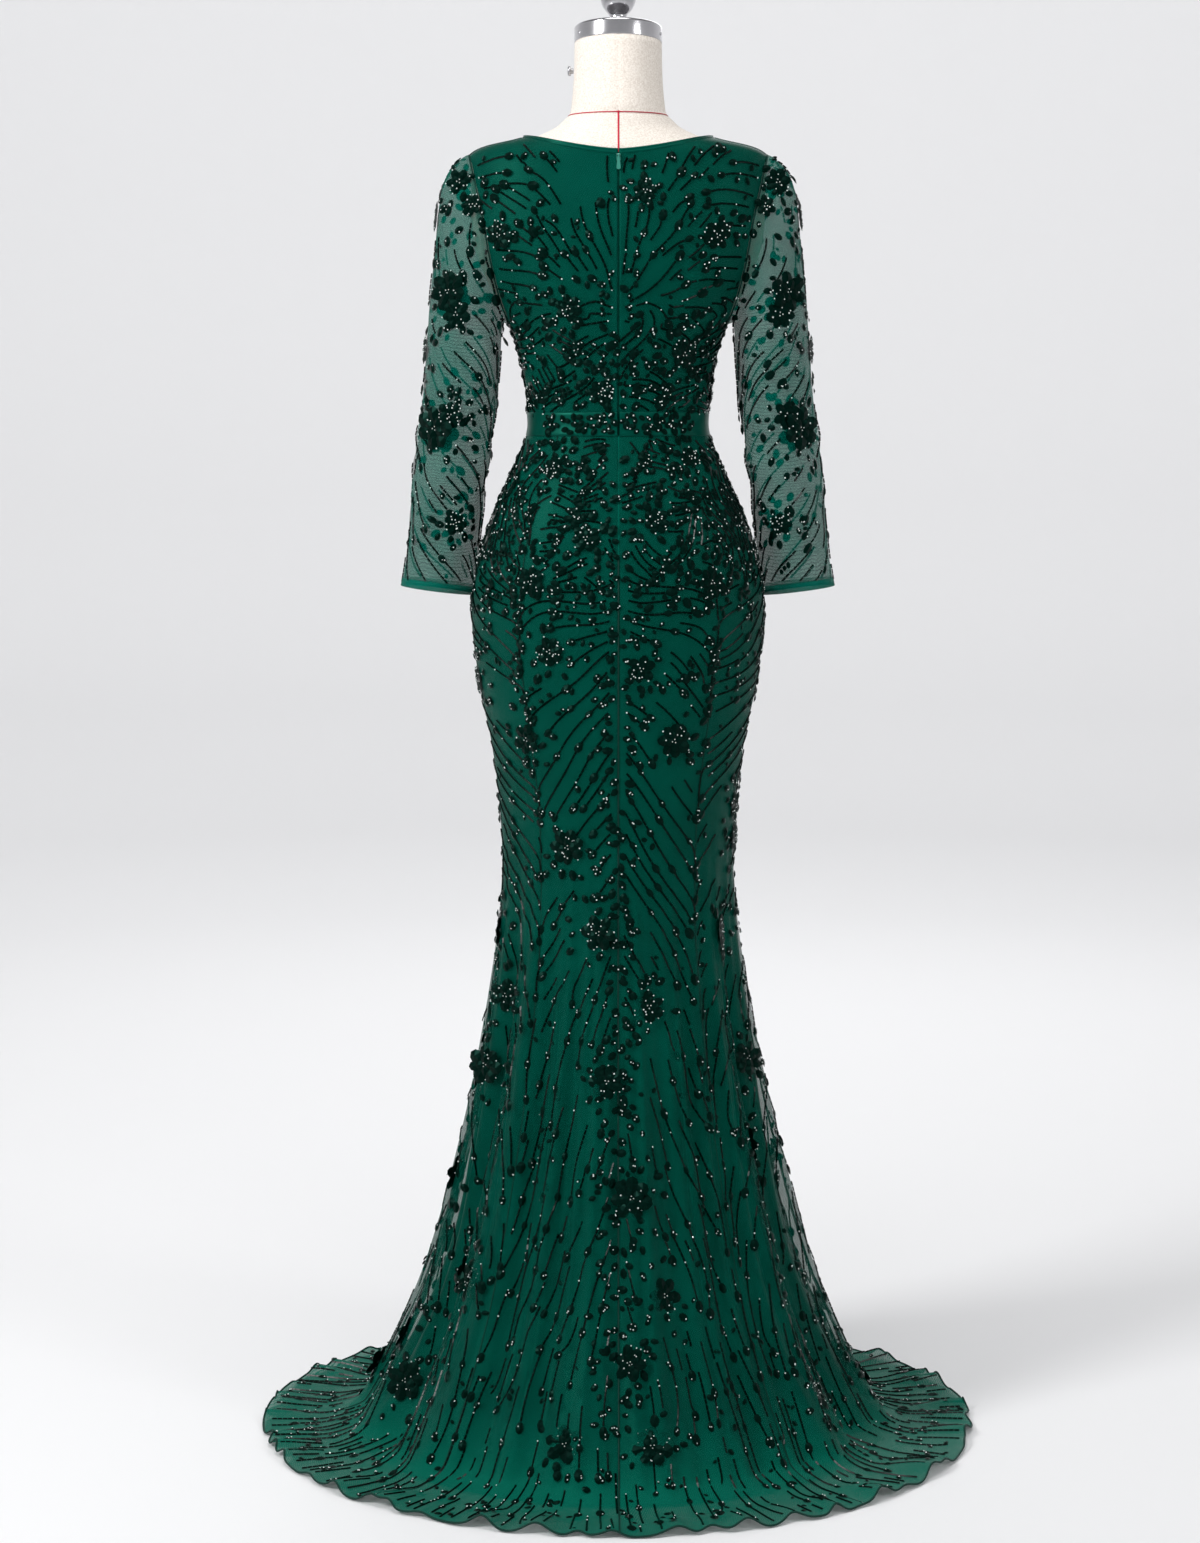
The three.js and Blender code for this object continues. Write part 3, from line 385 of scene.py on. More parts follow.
def addPiece(name, vertices, faces, material, uv=None, isSmooth=True, slot=None, replaced=()):
    mesh = bpy.data.meshes.new(name)
    mesh.from_pydata(np.asarray(vertices, float).reshape(-1, 3), [], faces)
    if uv is not None:
        layer = mesh.uv_layers.new(name="cloth")
        corners = np.empty(len(mesh.loops), np.int32)
        mesh.loops.foreach_get("vertex_index", corners)
        layer.data.foreach_set("uv", np.asarray(uv, np.float32).reshape(-1, 2)[corners].ravel())
    if isSmooth:
        mesh.polygons.foreach_set("use_smooth", np.ones(len(mesh.polygons), bool))
    mesh.materials.append(material)
    mesh.update()
    piece = bpy.data.objects.new(name, mesh)
    bpy.context.scene.collection.objects.link(piece)
    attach(piece, gownBody)
    if replaced:
        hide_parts(*replaced)
    return piece


def gridFaces(rows, columns, closed=False):
    r, c = np.meshgrid(np.arange(rows - 1), np.arange(columns if closed else columns - 1), indexing="ij")
    following = (c + 1) % columns
    a, b = r * columns + c, r * columns + following
    return np.stack([a, a + columns, b + columns, b], -1).reshape(-1, 4)


def gridPiece(name, points, material, **options):
    points = np.asarray(points)
    across = np.linalg.norm(np.diff(points, axis=1, prepend=points[:, :1]), axis=2).cumsum(1)
    down = np.linalg.norm(np.diff(points, axis=0, prepend=points[:1]), axis=2).cumsum(0)
    across = across - across[:, across.shape[1] // 2][:, None]
    uv = np.stack([across, down], -1)
    return addPiece(name, points, gridFaces(*points.shape[:2]), material, uv=uv, **options)


def tube(name, path, radius, material, sides=6, closed=False, **options):
    path = np.asarray(path)
    if closed:
        ahead = np.roll(path, -1, 0) - np.roll(path, 1, 0)
    else:
        ahead = np.gradient(path, axis=0)
    ahead = ahead / np.linalg.norm(ahead, axis=1, keepdims=True)
    up = np.array([0.03, 0.02, 1.0])
    side = np.cross(ahead, up)
    side = side / np.maximum(np.linalg.norm(side, axis=1, keepdims=True), 1e-9)
    top = np.cross(side, ahead)
    turn = np.linspace(0, 2 * np.pi, sides, endpoint=False)
    rings = (path[:, None] + radius * (np.cos(turn)[None, :, None] * side[:, None]
                                       + np.sin(turn)[None, :, None] * top[:, None]))
    count = len(path)
    if closed:
        rings = np.concatenate([rings, rings[:1]])
    faces = gridFaces(len(rings), sides, closed=True)
    if closed:
        faces = faces % (count * sides)
        rings = rings[:-1]
        return addPiece(name, rings, faces, material, **options)
    ends = [list(range(sides)), list(range((count - 1) * sides, count * sides))[::-1]]
    return addPiece(name, rings, [list(f) for f in faces] + ends, material, **options)


# Columns close together at both edges, where a seam pulls the cloth in
def panelAngles(start, end, step):
    count = max(int(round((end - start) / step)), 4)
    middle = np.linspace(start + 1.1, end - 1.1, count)
    angles = np.concatenate([[start + 0.06, start + 0.3, start + 0.65], middle,
                             [end - 0.65, end - 0.3, end - 0.06]])
    dip = np.zeros(len(angles))
    dip[[0, -1]], dip[[1, -2]], dip[[2, -3]] = 0.0014, 0.0007, 0.0002
    return angles, dip


waistbandTop, waistbandBottom, zipEnd = 1.290, 1.262, 1.118
princess = 40
skirtAlongs = np.concatenate([
    np.arange(alongAtHeight(waistbandBottom), alongAtHeight(0.80), -0.012),
    np.arange(alongAtHeight(0.80), alongAtHeight(0.03), -0.008),
    np.linspace(alongAtHeight(0.03), hemAlong, 34),
])


def skirtGrid(start, end, step=1.0):
    angles, dip = panelAngles(start, end, step)
    points = bodySurface(angles[None, :], skirtAlongs[:, None])
    flatOut = points * [1, 1, 0]
    flatOut = flatOut / np.linalg.norm(flatOut, axis=2, keepdims=True)
    return points - flatOut * dip[None, :, None]


for name, node, start, end in (
    ("tulleSkirtCentreBackLeft", "skirt_centre_back_left", 0, princess),
    ("tulleSkirtSideBackLeft", "skirt_side_back_left", princess, 90),
    ("tulleSkirtFront", "skirt_front", 90, 270),
    ("tulleSkirtSideBackRight", "skirt_side_back_right", 270, 360 - princess),
    ("tulleSkirtCentreBackRight", "skirt_centre_back_right", 360 - princess, 360),
):
    grid = skirtGrid(start, end, 1.0)
    piece = gridPiece(name, grid, backedTulle, slot="beaded_tulle", replaced=[node])

# The satin: a lining from the waist to its own hem, which parts from the tulle at the knee
satinAlongs = np.concatenate([
    np.arange(alongAtHeight(waistbandBottom), alongAtHeight(0.70), -0.016),
    np.arange(alongAtHeight(0.70), alongAtHeight(0.012), -0.012), [alongAtHeight(0.0065)],
])
for name, node, start, end in (("satinSkirtBack", "skirt_lining_back", -90, 90),
                               ("satinSkirtFront", "skirt_lining_front", 90, 270)):
    angles, dip = panelAngles(start, end, 1.5)
    heights = sectionAt(satinAlongs)[0]
    inside = curveThrough(liningInside[:, 0], liningInside[:, 1], heights)
    grid = bodySurface(angles[None, :], satinAlongs[:, None], inside=inside[:, None], small=0.55)
    grid[..., 2] = np.maximum(grid[..., 2], 0.0015)
    x, y = sectionPoint(angles, 0.0015, *liningHem, 2)
    grid = np.concatenate([grid, np.stack([x, y, np.full_like(x, 0.0015)], -1)[None]])
    piece = gridPiece(name, grid, satin, slot="green_satin", replaced=[node])
print("skirt made")

# The bodice
armpitHeight, shoulderTipHeight, shoulderTipX = 1.400, 1.607, 0.184
neckPointX, neckPointHeight = 0.117, 1.629
armpitShare, neckShare = 0.4, 0.62


def bodiceHalf(sign, armhole, neckHeight, power, inside=0.0):
    ups = np.concatenate([np.linspace(0, armpitShare, 17), np.linspace(armpitShare, 0.94, 26)[1:],
                          [0.955, 0.968, 0.979, 0.987, 0.993, 0.997, 1]])[::-1, None]
    outs = np.concatenate([[0.001, 0.0025, 0.0045, 0.007, 0.0105, 0.015, 0.022, 0.035],
                           np.linspace(0.06, neckShare, 20),
                           np.linspace(neckShare, 1, 22)[1:]])
    neck = np.sin(np.minimum(outs / neckShare, 1) * np.pi / 2)
    past = np.clip((outs - neckShare) / (1 - neckShare), 0, 1)
    ridge = sectionAt(alongAtHeight(neckPointHeight) * (1 - past) + alongAtHeight(shoulderTipHeight) * past)
    topX = np.where(past > 0, ridge[1], neckPointX * neck)
    topZ = np.where(past > 0, ridge[0], neckHeight + (neckPointHeight - neckHeight) * neck**power)
    waistX = sectionAt(alongAtHeight(waistbandTop))[1]
    sideZ = np.where(ups <= armpitShare, waistbandTop + (armpitHeight - waistbandTop) * ups / armpitShare,
                     armpitHeight + (shoulderTipHeight - armpitHeight) * (ups - armpitShare) / (1 - armpitShare))
    sideX = np.where(ups <= armpitShare, sectionAt(alongAtHeight(sideZ))[1],
                     curveThrough(armholeHeights, armhole, sideZ))
    x = (1 - ups) * waistX * np.sin(outs * np.pi / 2) + ups * topX
    x = x + outs * (sideX - (1 - ups) * waistX - ups * shoulderTipX)
    z = (1 - ups) * waistbandTop + ups * topZ
    z = z + outs * (sideZ - (1 - ups) * waistbandTop - ups * shoulderTipHeight)
    y = bodyDepth(x, z, sign)
    y[0, outs >= neckShare] = 0
    if sign > 0:  # the edges roll in along the hidden zip
        y = y - 0.0022 * np.exp(-((x / 0.0009) ** 2)) + 0.0005 * np.exp(-(((x - 0.003) / 0.0016) ** 2))
    else:
        x = np.where(outs < 0.0015, 0, x)
    points = np.stack([x, y, z], -1)
    normals = gridNormals(points)
    normals = np.where((normals * points * [1, 1, 0]).sum(2, keepdims=True) < 0, -normals, normals)
    seam = np.abs(points[..., 1]) < 0.0006
    normals[seam, 1] = 0
    normals[:, :4, 0] = 0
    normals = normals / np.maximum(np.linalg.norm(normals, axis=2, keepdims=True), 1e-9)
    return points - normals * inside, normals


flip = np.array([-1, 1, 1])


def wholeFront(half):
    return np.concatenate([(half * flip)[:, :0:-1], half], 1)


backNeck, frontNeck = (1.608, 1.5), (1.562, 2.2)
backHalf, backOut = bodiceHalf(1, armholeBack, *backNeck)
frontHalf, frontOut = bodiceHalf(-1, armholeFront, *frontNeck)
bodices = {
    "tulleBodiceFront": (wholeFront(frontHalf), ["bodice_front"]),
    "tulleBodiceBackLeft": (backHalf, ["bodice_back_left"]),
    "tulleBodiceBackRight": (backHalf * flip, ["bodice_back_right"]),
}
clothPieces = {}
for name, (grid, nodes) in bodices.items():
    clothPieces[name] = (gridPiece(name, grid, backedTulle, slot="beaded_tulle", replaced=nodes), grid)
for name, grid in (("satinBodiceFront", wholeFront(frontHalf - frontOut * 0.0011)),
                   ("satinBodiceBackLeft", backHalf - backOut * 0.0011),
                   ("satinBodiceBackRight", (backHalf - backOut * 0.0011) * flip)):
    clothPieces[name] = (gridPiece(name, grid, satin, slot="beaded_tulle"), grid)


# A strip that lies on the cloth: columns follow its length, and the profile is width and rise in mm
def stripGrid(along, across, out, profile):
    profile = np.asarray(profile) / 1000
    return (along[None] + across[None] * profile[:, 0][:, None, None] + out[None] * profile[:, 1][:, None,
            None])


bindingProfile = [(2.2, -1.5), (0.4, -1.4), (-0.3, -0.5), (-0.6, 0.8), (0, 1.5), (1.2, 1.6), (2.4, 1.1),
                  (3.0, 0.85), (3.6, 1.05), (4.6, 1.0),
                  (5.4, 0.7), (5.7, 0.1)]


def binding(half, out, isWhole):
    neckColumns = np.arange(28)
    edge, normal = half[0, neckColumns], out[0, neckColumns]
    inward = half[5, neckColumns] - edge
    inward = inward / np.linalg.norm(inward, axis=1, keepdims=True)
    if isWhole:
        edge, normal, inward = [np.concatenate([(v * flip)[:0:-1], v]) for v in (edge, normal, inward)]
    return stripGrid(edge, inward, normal, bindingProfile)


for name, grid, node in (
    ("bindingFront", binding(frontHalf, frontOut, True), "neck_binding_front"),
    ("bindingBackLeft", binding(backHalf, backOut, False), "neck_binding_back_left"),
    ("bindingBackRight", binding(backHalf, backOut, False) * flip, "neck_binding_back_right"),
):
    clothPieces[name] = (gridPiece(name, grid, bandSatin, slot="green_satin", replaced=[node]), grid)

# The waistband: plain satin with a rounded fold at each edge
bandProfile = [(waistbandTop + 0.0004, -0.8), (waistbandTop + 0.0006, 0.6), (waistbandTop - 0.0006, 1.3),
               (waistbandTop - 0.003, 1.5), (1.281, 1.2), (1.276, 1.1), (1.271, 1.2),
               (waistbandBottom + 0.003, 1.5),
               (waistbandBottom + 0.0006, 1.3), (waistbandBottom - 0.0006, 0.6),
               (waistbandBottom - 0.0004, -0.8)]
for name, node, start, end in (("waistbandFront", "waistband_front", 90.1, 269.9),
                               ("waistbandBackLeft", "waistband_back_left", 0.6, 89.9),
                               ("waistbandBackRight", "waistband_back_right", 270.1, 359.4)):
    angles = np.linspace(start, end, int((end - start) / 1.5))
    rows = [bodySurface(angles, alongAtHeight(z), inside=-rise / 1000) for z, rise in bandProfile]
    grid = np.stack(rows)
    clothPieces[name] = (gridPiece(name, grid, bandSatin, slot="green_satin", replaced=[node]), grid)
print("bodice made")

# The sleeves: a gathered head that comes out of the armhole, then rings down to the cuff
sleeve = {"gathers": 13, "gatherDepth": 3.4, "columns": 120, "hemHeight": 11}


def sleeveRing(side, z, turn):
    read = [curveThrough(sleeveRings[:, 0], sleeveRings[:, c], z) for c in range(5)]
    lean = (read[1] - curveThrough(sleeveRings[:, 0], sleeveRings[:, 1], z + 0.010)) / 0.010
    inward = -np.cos(np.radians(turn))
    x = read[3] * inward
    y = read[4] * np.sin(np.radians(turn))
    return np.stack([side * (read[1] + x), read[2] + y, z + x * lean], -1)


def sleeveGrid(side):
    turn = np.linspace(-180, 180, sleeve["columns"] + 1)
    even = np.abs(turn) / 180
    share = np.minimum(even + 0.3 * even * (1 - even) ** 0.8 * even, 1)
    z = armpitHeight + (shoulderTipHeight - armpitHeight) * share
    behind = turn >= 0
    x = np.where(behind, curveThrough(armholeHeights, armholeBack, z),
                 curveThrough(armholeHeights, armholeFront, z))
    y = np.where(behind, bodyDepth(x, z, 1), bodyDepth(x, z, -1))
    start = np.stack([side * (x + 0.0007), y, z], -1)
    high = smooth(share, 0.55, 1)
    sign = np.where(behind, 1, -1)
    leave = np.stack([side * (0.024 + 0.034 * high), 0.012 * sign * (1 - high), 0.034 * high], -1)
    arrive = np.stack([np.full_like(high, side * 0.006), np.zeros_like(high), -0.060 - 0.190 * high], -1)
    end = sleeveRing(side, np.full_like(turn, sleeveRings[0, 0]), turn)
    rows = []
    for t in np.concatenate([np.linspace(0, 0.35, 16), np.linspace(0.35, 1, 22)[1:-1]]):
        point = (start * (2 * t**3 - 3 * t**2 + 1) + leave * (t**3 - 2 * t**2 + t)
                 + end * (3 * t**2 - 2 * t**3) + arrive * (t**3 - t**2))
        pleat = np.cos(np.radians(turn * sleeve["gathers"]) + 1.3 * np.sin(np.radians(turn * 3)))
        fade = np.sin(np.pi * min(t / 0.5, 1)) ** 0.8 if t > 0 else 0
        point[:, 2] += sleeve["gatherDepth"] / 1000 * high * fade * (pleat - 0.3)
        point[:, 0] += side * high * (0.0026 * fade * pleat + 0.0100 * math.exp(-(((t - 0.36) / 0.22) ** 2)))
        point[:, 2] += 0.0042 * high * math.exp(-(((t - 0.26) / 0.16) ** 2))
        rows.append(point)
    lower = np.concatenate([np.arange(1.388, 1.080, -0.006), [1.0776]])
    for z in lower:
        ring = sleeveRing(side, np.full_like(turn, z), turn)
        # soft drag lines that cross the inside of the elbow, and a slack edge down the back
        droop = 0.0018 * np.sin((z - 1.22) * 95 + np.radians(turn * 1.5)) * np.exp(-(((z - 1.235) / 0.075) ** 2))
        slack = 0.0012 * np.sin(np.radians(turn * 5) + z * 30)
        radial = (ring - np.array([ring[:, 0].mean(), ring[:, 1].mean(), z])) * [1, 1, 0]
        rows.append(ring + radial / np.linalg.norm(radial, axis=1, keepdims=True) * (droop + slack)[:, None])
    return np.stack(rows)


sleeveGrids = {}
for name, side, node in (("Left", 1, "left"), ("Right", -1, "right")):
    grid = sleeveGrid(side)
    sleeveGrids[name] = grid
    clothPieces["tulleSleeve" + name] = (
        gridPiece("tulleSleeve" + name, grid, sheerTulle, slot="sheer_tulle", replaced=["sleeve_" + node]),
        grid)
    top = sleeveRings[-2, 0] - 0.0004
    turn = np.linspace(-180, 180, 97)
    bandRows = []
    for drop, out in ((0.6, -0.7), (0, 0.0), (0.5, 0.9), (4, 0.9), (8, 0.9), (10.6, 1.0), (11.2, 0.4),
                      (10.8, -0.5), (4, -0.7)):
        ring = sleeveRing(side, np.full_like(turn, top - drop / 1000), turn)
        centre = ring[:-1].mean(0)
        radial = (ring - centre) * [1, 1, 0]
        bandRows.append(ring + radial / np.linalg.norm(radial, axis=1, keepdims=True) * (out / 1000))
    grid = np.stack(bandRows)
    clothPieces["sleeveHem" + name] = (
        gridPiece("sleeveHem" + name, grid, hemBandTulle, slot="sheer_tulle",
                  replaced=["sleeve_hem_" + node]), grid)
print("sleeves made")

# Seams, the rolled hem and the zip
hemAngles = np.arange(0, 360, 0.4)
rolledHem = bodySurface(hemAngles, hemAlong)
rolledHem[:, 2] = np.maximum(rolledHem[:, 2], 0.0015)
hemRoll = tube("rolledHem", rolledHem, 0.0013, thread, closed=True, slot="beaded_tulle")

fromArmpit = backHalf[:, -1, 2] >= armpitHeight - 1e-6
armholeRing = np.concatenate([backHalf[fromArmpit, -1], frontHalf[fromArmpit, -1][::-1][1:-1]])
for name, way in (("Left", [1, 1, 1]), ("Right", flip)):
    tube("armholeSeam" + name, (armholeRing + [0.0006, 0, 0]) * way, 0.0011, thread, closed=True,
         slot="sheer_tulle")

sideSeam = frontHalf[~fromArmpit, -1]
shoulderSeam = backHalf[0, 28:]
for name, way in (("Left", [1, 1, 1]), ("Right", flip)):
    tube("shoulderSeam" + name, (shoulderSeam + [0, 0, 0.0002]) * way, 0.0007, thread, slot="beaded_tulle")
for name, way in (("Left", [1, 1, 1]), ("Right", flip)):
    tube("sideSeam" + name, (sideSeam + [0.0001, 0, 0]) * way, 0.0007, thread, slot="beaded_tulle")

# The skirt's seams: a dark line in each groove
for name, angle, top, radius in (("CentreBack", 0, zipEnd, 0.0011), ("PrincessLeft", princess, 1.261, 0.0006),
                                 ("PrincessRight", 360 - princess, 1.261, 0.0006),
                                 ("SideLeft", 90, 1.261, 0.0006),
                                 ("SideRight", 270, 1.261, 0.0006)):
    alongs = np.arange(alongAtHeight(top), hemAlong + 0.002, -0.008)
    tube("seam" + name, bodySurface(angle, alongs, inside=0.0004), radius, thread, sides=5,
         slot="beaded_tulle")

zipper = {"behind": 0.0026, "coilPitch": 0.0012, "top": 1.604, "end": 1.118}
zipHeights = np.linspace(zipper["top"], zipper["end"], 120)
zipAcross = np.array([-6, -4, -1.6, -1.2, 0, 1.2, 1.6, 4, 6]) / 1000
zipRise = np.array([0, 0, 0, 0.7, 1.0, 0.7, 0, 0, 0]) / 1000
tapeGrid = np.stack([np.stack([zipAcross, bodyDepth(zipAcross, z, 1) - zipper["behind"] + zipRise,
                               np.full(9, z)], -1) for z in zipHeights])
zipTape = gridPiece("zipTapeWoven", tapeGrid, satin, slot="green_satin", replaced=["zip_tape"])
coilCount = int((zipper["top"] - 0.012 - zipper["end"]) / zipper["coilPitch"] * 2)
coilHeights = zipper["top"] - 0.012 - np.arange(coilCount) * zipper["coilPitch"] / 2
coilSide = np.where(np.arange(coilCount) % 2 == 0, 0.0009, -0.0009)
coil = np.stack([coilSide, bodyDepth(coilSide, coilHeights, 1) - 0.0012, coilHeights], -1)
zipCoil = tube("zipCoil", coil, 0.00028, thread, sides=3, slot="green_satin")

for node in ("zip_slider", "zip_pull"):
    shown = bpy.data.objects[node]
    shown.data.materials.clear()
    shown.data.materials.append(zipLacquer)
print("seams and zip made")


# The dress form
def turned(name, profile, material, sides=96, at=(0, 0, 0), tilt=0.0, toSide=False, **options):
    profile = np.asarray(profile, float) / 1000
    angle = np.radians(np.arange(sides) * 360 / sides)
    rings = np.stack([np.outer(profile[:, 0], np.sin(angle)), np.outer(profile[:, 0], np.cos(angle)),
                      np.repeat(profile[:, 1:2], sides, 1)], -1)
    if toSide:
        rings = rings[..., [2, 1, 0]] * [1, 1, -1]
    c, s = math.cos(tilt), math.sin(tilt)
    rings = rings @ np.array([[1, 0, 0], [0, c, -s], [0, s, c]]).T + np.asarray(at)
    rings = rings[1:-1]
    faces = [list(f) for f in gridFaces(len(rings), sides, closed=True)]
    last = (len(rings) - 1) * sides
    faces += [list(range(sides))[::-1], list(range(last, last + sides))]
    piece = addPiece(name, rings, faces, material, **options)
    return piece


# Corners of a turned profile are rounded by a short arc of the given radius
def rounded(profile, radius, steps=5):
    profile = np.asarray(profile, float)
    out = [profile[0]]
    for before, corner, after in zip(profile[:-2], profile[1:-1], profile[2:]):
        toBefore, toAfter = before - corner, after - corner
        lengths = np.linalg.norm(toBefore), np.linalg.norm(toAfter)
        cut = min(radius, lengths[0] * 0.45, lengths[1] * 0.45)
        start, end = corner + toBefore / lengths[0] * cut, corner + toAfter / lengths[1] * cut
        for t in np.linspace(0, 1, steps):
            out.append(start * (1 - t) ** 2 + 2 * corner * t * (1 - t) + end * t**2)
    out.append(profile[-1])
    return np.array(out)


form = {"inset": 0.0024, "shoulderDrop": 0.0042, "neckTop": (-0.013, 1.744), "neckTilt": math.radians(6.3),
        "bottom": 0.858}
formAngles = np.arange(0, 360, 3.0)
seamDip = 0.0007 * (np.exp(-((((formAngles + 180) % 360 - 180) / 1.6) ** 2))
                    + np.exp(-(((formAngles - 180) / 1.6) ** 2)))


def neckRing(radius, share):
    tilt = form["neckTilt"] * share
    reach = radius - seamDip
    across = reach * np.sin(np.radians(formAngles))
    behind = reach * np.cos(np.radians(formAngles))
    y, z = form["neckTop"][0] * share, 1.656 + (form["neckTop"][1] - 1.656) * share
    return np.stack([across, y + behind * math.cos(tilt), z + behind * math.sin(tilt)], -1)


def formRing(z, grow=0.0):
    raised = form["shoulderDrop"] * smooth(z, 1.54, 1.60) * (1 - smooth(z, 1.64, 1.656))
    read = sectionAt(alongAtHeight(min(z + raised, 1.656)))
    shoulder = 0.0022 * smooth(z, 1.52, 1.58) * (1 - smooth(z, 1.634, 1.648))
    inset = form["inset"] + shoulder - grow + seamDip
    x, y = sectionPoint(formAngles, z, read[1] - inset, read[2] - inset, read[3] - inset, read[4])
    return np.stack([x, y, np.full_like(x, z)], -1)


formHeights = np.concatenate([np.arange(1.654, 1.600, -0.003), np.arange(1.600, 1.250, -0.010),
                              np.arange(1.250, form["bottom"] + 0.006, -0.02), [form["bottom"] + 0.002]])
neckShares = np.linspace(1, 0.04, 14)
neckRadii = curveThrough(np.array([1, 0.5, 0.16, 0.0]), np.array([0.054, 0.055, 0.0574, 0.0592]), neckShares)
torsoRings = [neckRing(r, s) for r, s in zip(neckRadii, neckShares)] + [formRing(z) for z in formHeights]
foot = formRing(form["bottom"] + 0.002)
for shrink in (0.985, 0.9, 0.5, 0.1):
    torsoRings.append(foot * [shrink, shrink, 0] + [0, 0, form["bottom"]])
torsoFaces = [list(f) for f in gridFaces(len(torsoRings), len(formAngles), closed=True)]
count = len(formAngles)
torsoFaces += [list(range(count)), list(range((len(torsoRings) - 1) * count, len(torsoRings) * count))[::-1]]
torso = addPiece("linenTorso", np.concatenate(torsoRings), [f[::-1] for f in torsoFaces], linen,
                 slot="linen_cover",
                 replaced=["form_torso"])

capAt = (0, form["neckTop"][0], form["neckTop"][1])
lift = np.array([0, -math.sin(form["neckTilt"]), math.cos(form["neckTilt"])])
capProfile = rounded([(0, 0), (54.2, 0), (54.4, 1.5), (54.4, 19), (51, 21), (0, 21)], 2.2)
turned("chromeCap", capProfile, chrome, at=np.array(capAt) + lift * 0.0003, tilt=form["neckTilt"],
       slot="chrome_metal",
       replaced=["form_neck_cap"])
finialProfile = [(0, 0), (12.2, 0), (12.4, 0.4), (12.4, 5.6), (12, 6.4), (10.9, 8), (10.4, 9.5), (10.2, 11),
                 (10.6, 13),
                 (12.3, 15.4), (15, 18.2), (17.8, 22), (20, 26), (21.5, 30.6), (22, 35), (21.5, 39.6),
                 (20, 44),
                 (17.4, 48), (14, 51), (10, 53.3), (6, 54.5), (2.5, 55), (0, 55)]
turned("chromeFinial", finialProfile, chrome, sides=64, at=np.array(capAt) + lift * 0.0216,
       tilt=form["neckTilt"],
       slot="chrome_metal", replaced=["form_finial"])
for name, angle in (("Left", 61), ("Right", -73)):
    a = math.radians(angle)
    out = np.array([math.sin(a), math.cos(a), 0])
    up = lift
    side = np.cross(up, out)
    dome = np.array([(2.3, -0.4), (2.3, 0.3), (1.9, 0.9), (1.1, 1.3), (0.3, 1.45)]) / 1000
    turn = np.radians(np.arange(0, 360, 30))
    centre = np.array(capAt) + lift * 0.0105 + out * 0.0544
    rings = [centre + out * rise + radius * (np.cos(turn)[:, None] * side + np.sin(turn)[:, None] * up)
             for radius, rise in dome]
    faces = [list(f)[::-1] for f in gridFaces(len(rings), 12, closed=True)] + [list(range(48, 60))]
    addPiece("capRivet" + name, np.concatenate(rings), faces, standSteel, slot="chrome_metal")

turned("steelNeckButton", rounded([(0, 0), (3.4, 0), (3.4, 3), (6, 3.4), (6, 6), (4.6, 7.2), (0, 7.6)], 0.8),
       standSteel,
       sides=32, at=(0.0553, -0.008, 1.710), toSide=True, slot="chrome_metal", replaced=["form_neck_button"])
turned("steelPole", [(0, 9.3), (15.2, 9.3), (16, 10), (16, 300), (16, 600), (16, 857), (15, 857.7),
                     (0, 857.7)], standSteel,
       sides=48, slot="stand_metal", replaced=["form_pole"])
turned("steelBase", rounded([(0, 0), (183, 0), (185, 2), (185, 6), (181, 9), (24, 9), (21, 9), (0, 9)], 1.8),
       standSteel,
       sides=128, slot="stand_metal", replaced=["form_base"])

# Cotton tape round the foot of the neck, and down the centre back to the gown's neckline
tapeRows = []
for z, grow in ((1.6582, 0.0001), (1.6580, 0.0010), (1.6562, 0.0012), (1.6545, 0.0012), (1.6542, 0.0001)):
    read = sectionAt(alongAtHeight(min(z, 1.656)))
    inset = form["inset"] - grow
    x, y = sectionPoint(formAngles, z, read[1] - inset, read[2] - inset, read[3] - inset, 2)
    tapeRows.append(np.stack([x, y, np.full_like(x, z)], -1))
tapeRows = np.stack([np.concatenate([row, row[:1]]) for row in tapeRows])
neckTape = gridPiece("cottonTapeNeck", tapeRows, redTape, slot="linen_cover")
centreHeights = np.linspace(1.6545, 1.604, 24)
centreBack = []
for z in centreHeights:
    y = formRing(float(z))[0, 1] + 0.0009
    centreBack.append([[dx, y - lower, z] for dx, lower in ((-0.0011, 0.0006), (-0.0010, 0.0001), (0, 0),
                                                           (0.0010, 0.0001), (0.0011, 0.0006))])
centreTape = gridPiece("cottonTapeCentreBack", np.array(centreBack), redTape, slot="linen_cover")
print("form made")


# Embroidery. A surface is a grid that beads are sewn on, read at any row and column between its points.
def makeSurface(points, closed=False, outward=None):
    normals = gridNormals(points, closed)
    middle = points.mean((0, 1)) if outward is None else outward
    if ((points - middle) * normals * [1, 1, 0]).sum() < 0:
        normals = -normals
    return {"points": points, "normals": normals, "closed": closed}


def readSurface(surface, row, column):
    points, normals = surface["points"], surface["normals"]
    rows, columns = points.shape[:2]
    if surface["closed"]:
        column = column % columns
    elif not 0 <= column <= columns - 1.001:
        return None
    if not 0 <= row <= rows - 1.001:
        return None
    i, j = int(row), int(column)
    k = (j + 1) % columns
    fr, fc = row - i, column - j
    a, b, c, d = points[i, j], points[i, k], points[i + 1, j], points[i + 1, k]
    spot = (a * (1 - fc) + b * fc) * (1 - fr) + (c * (1 - fc) + d * fc) * fr
    across = (b - a) * (1 - fr) + (d - c) * fr
    down = (c - a) * (1 - fc) + (d - b) * fc
    normal = normals[i, j] * (1 - fc) * (1 - fr) + normals[i, k] * fc * (1 - fr) + normals[i + 1,
            j] * (1 - fc) * fr \
        + normals[i + 1, k] * fc * fr
    return spot, across, down, normal / math.sqrt(float(normal @ normal) + 1e-18)


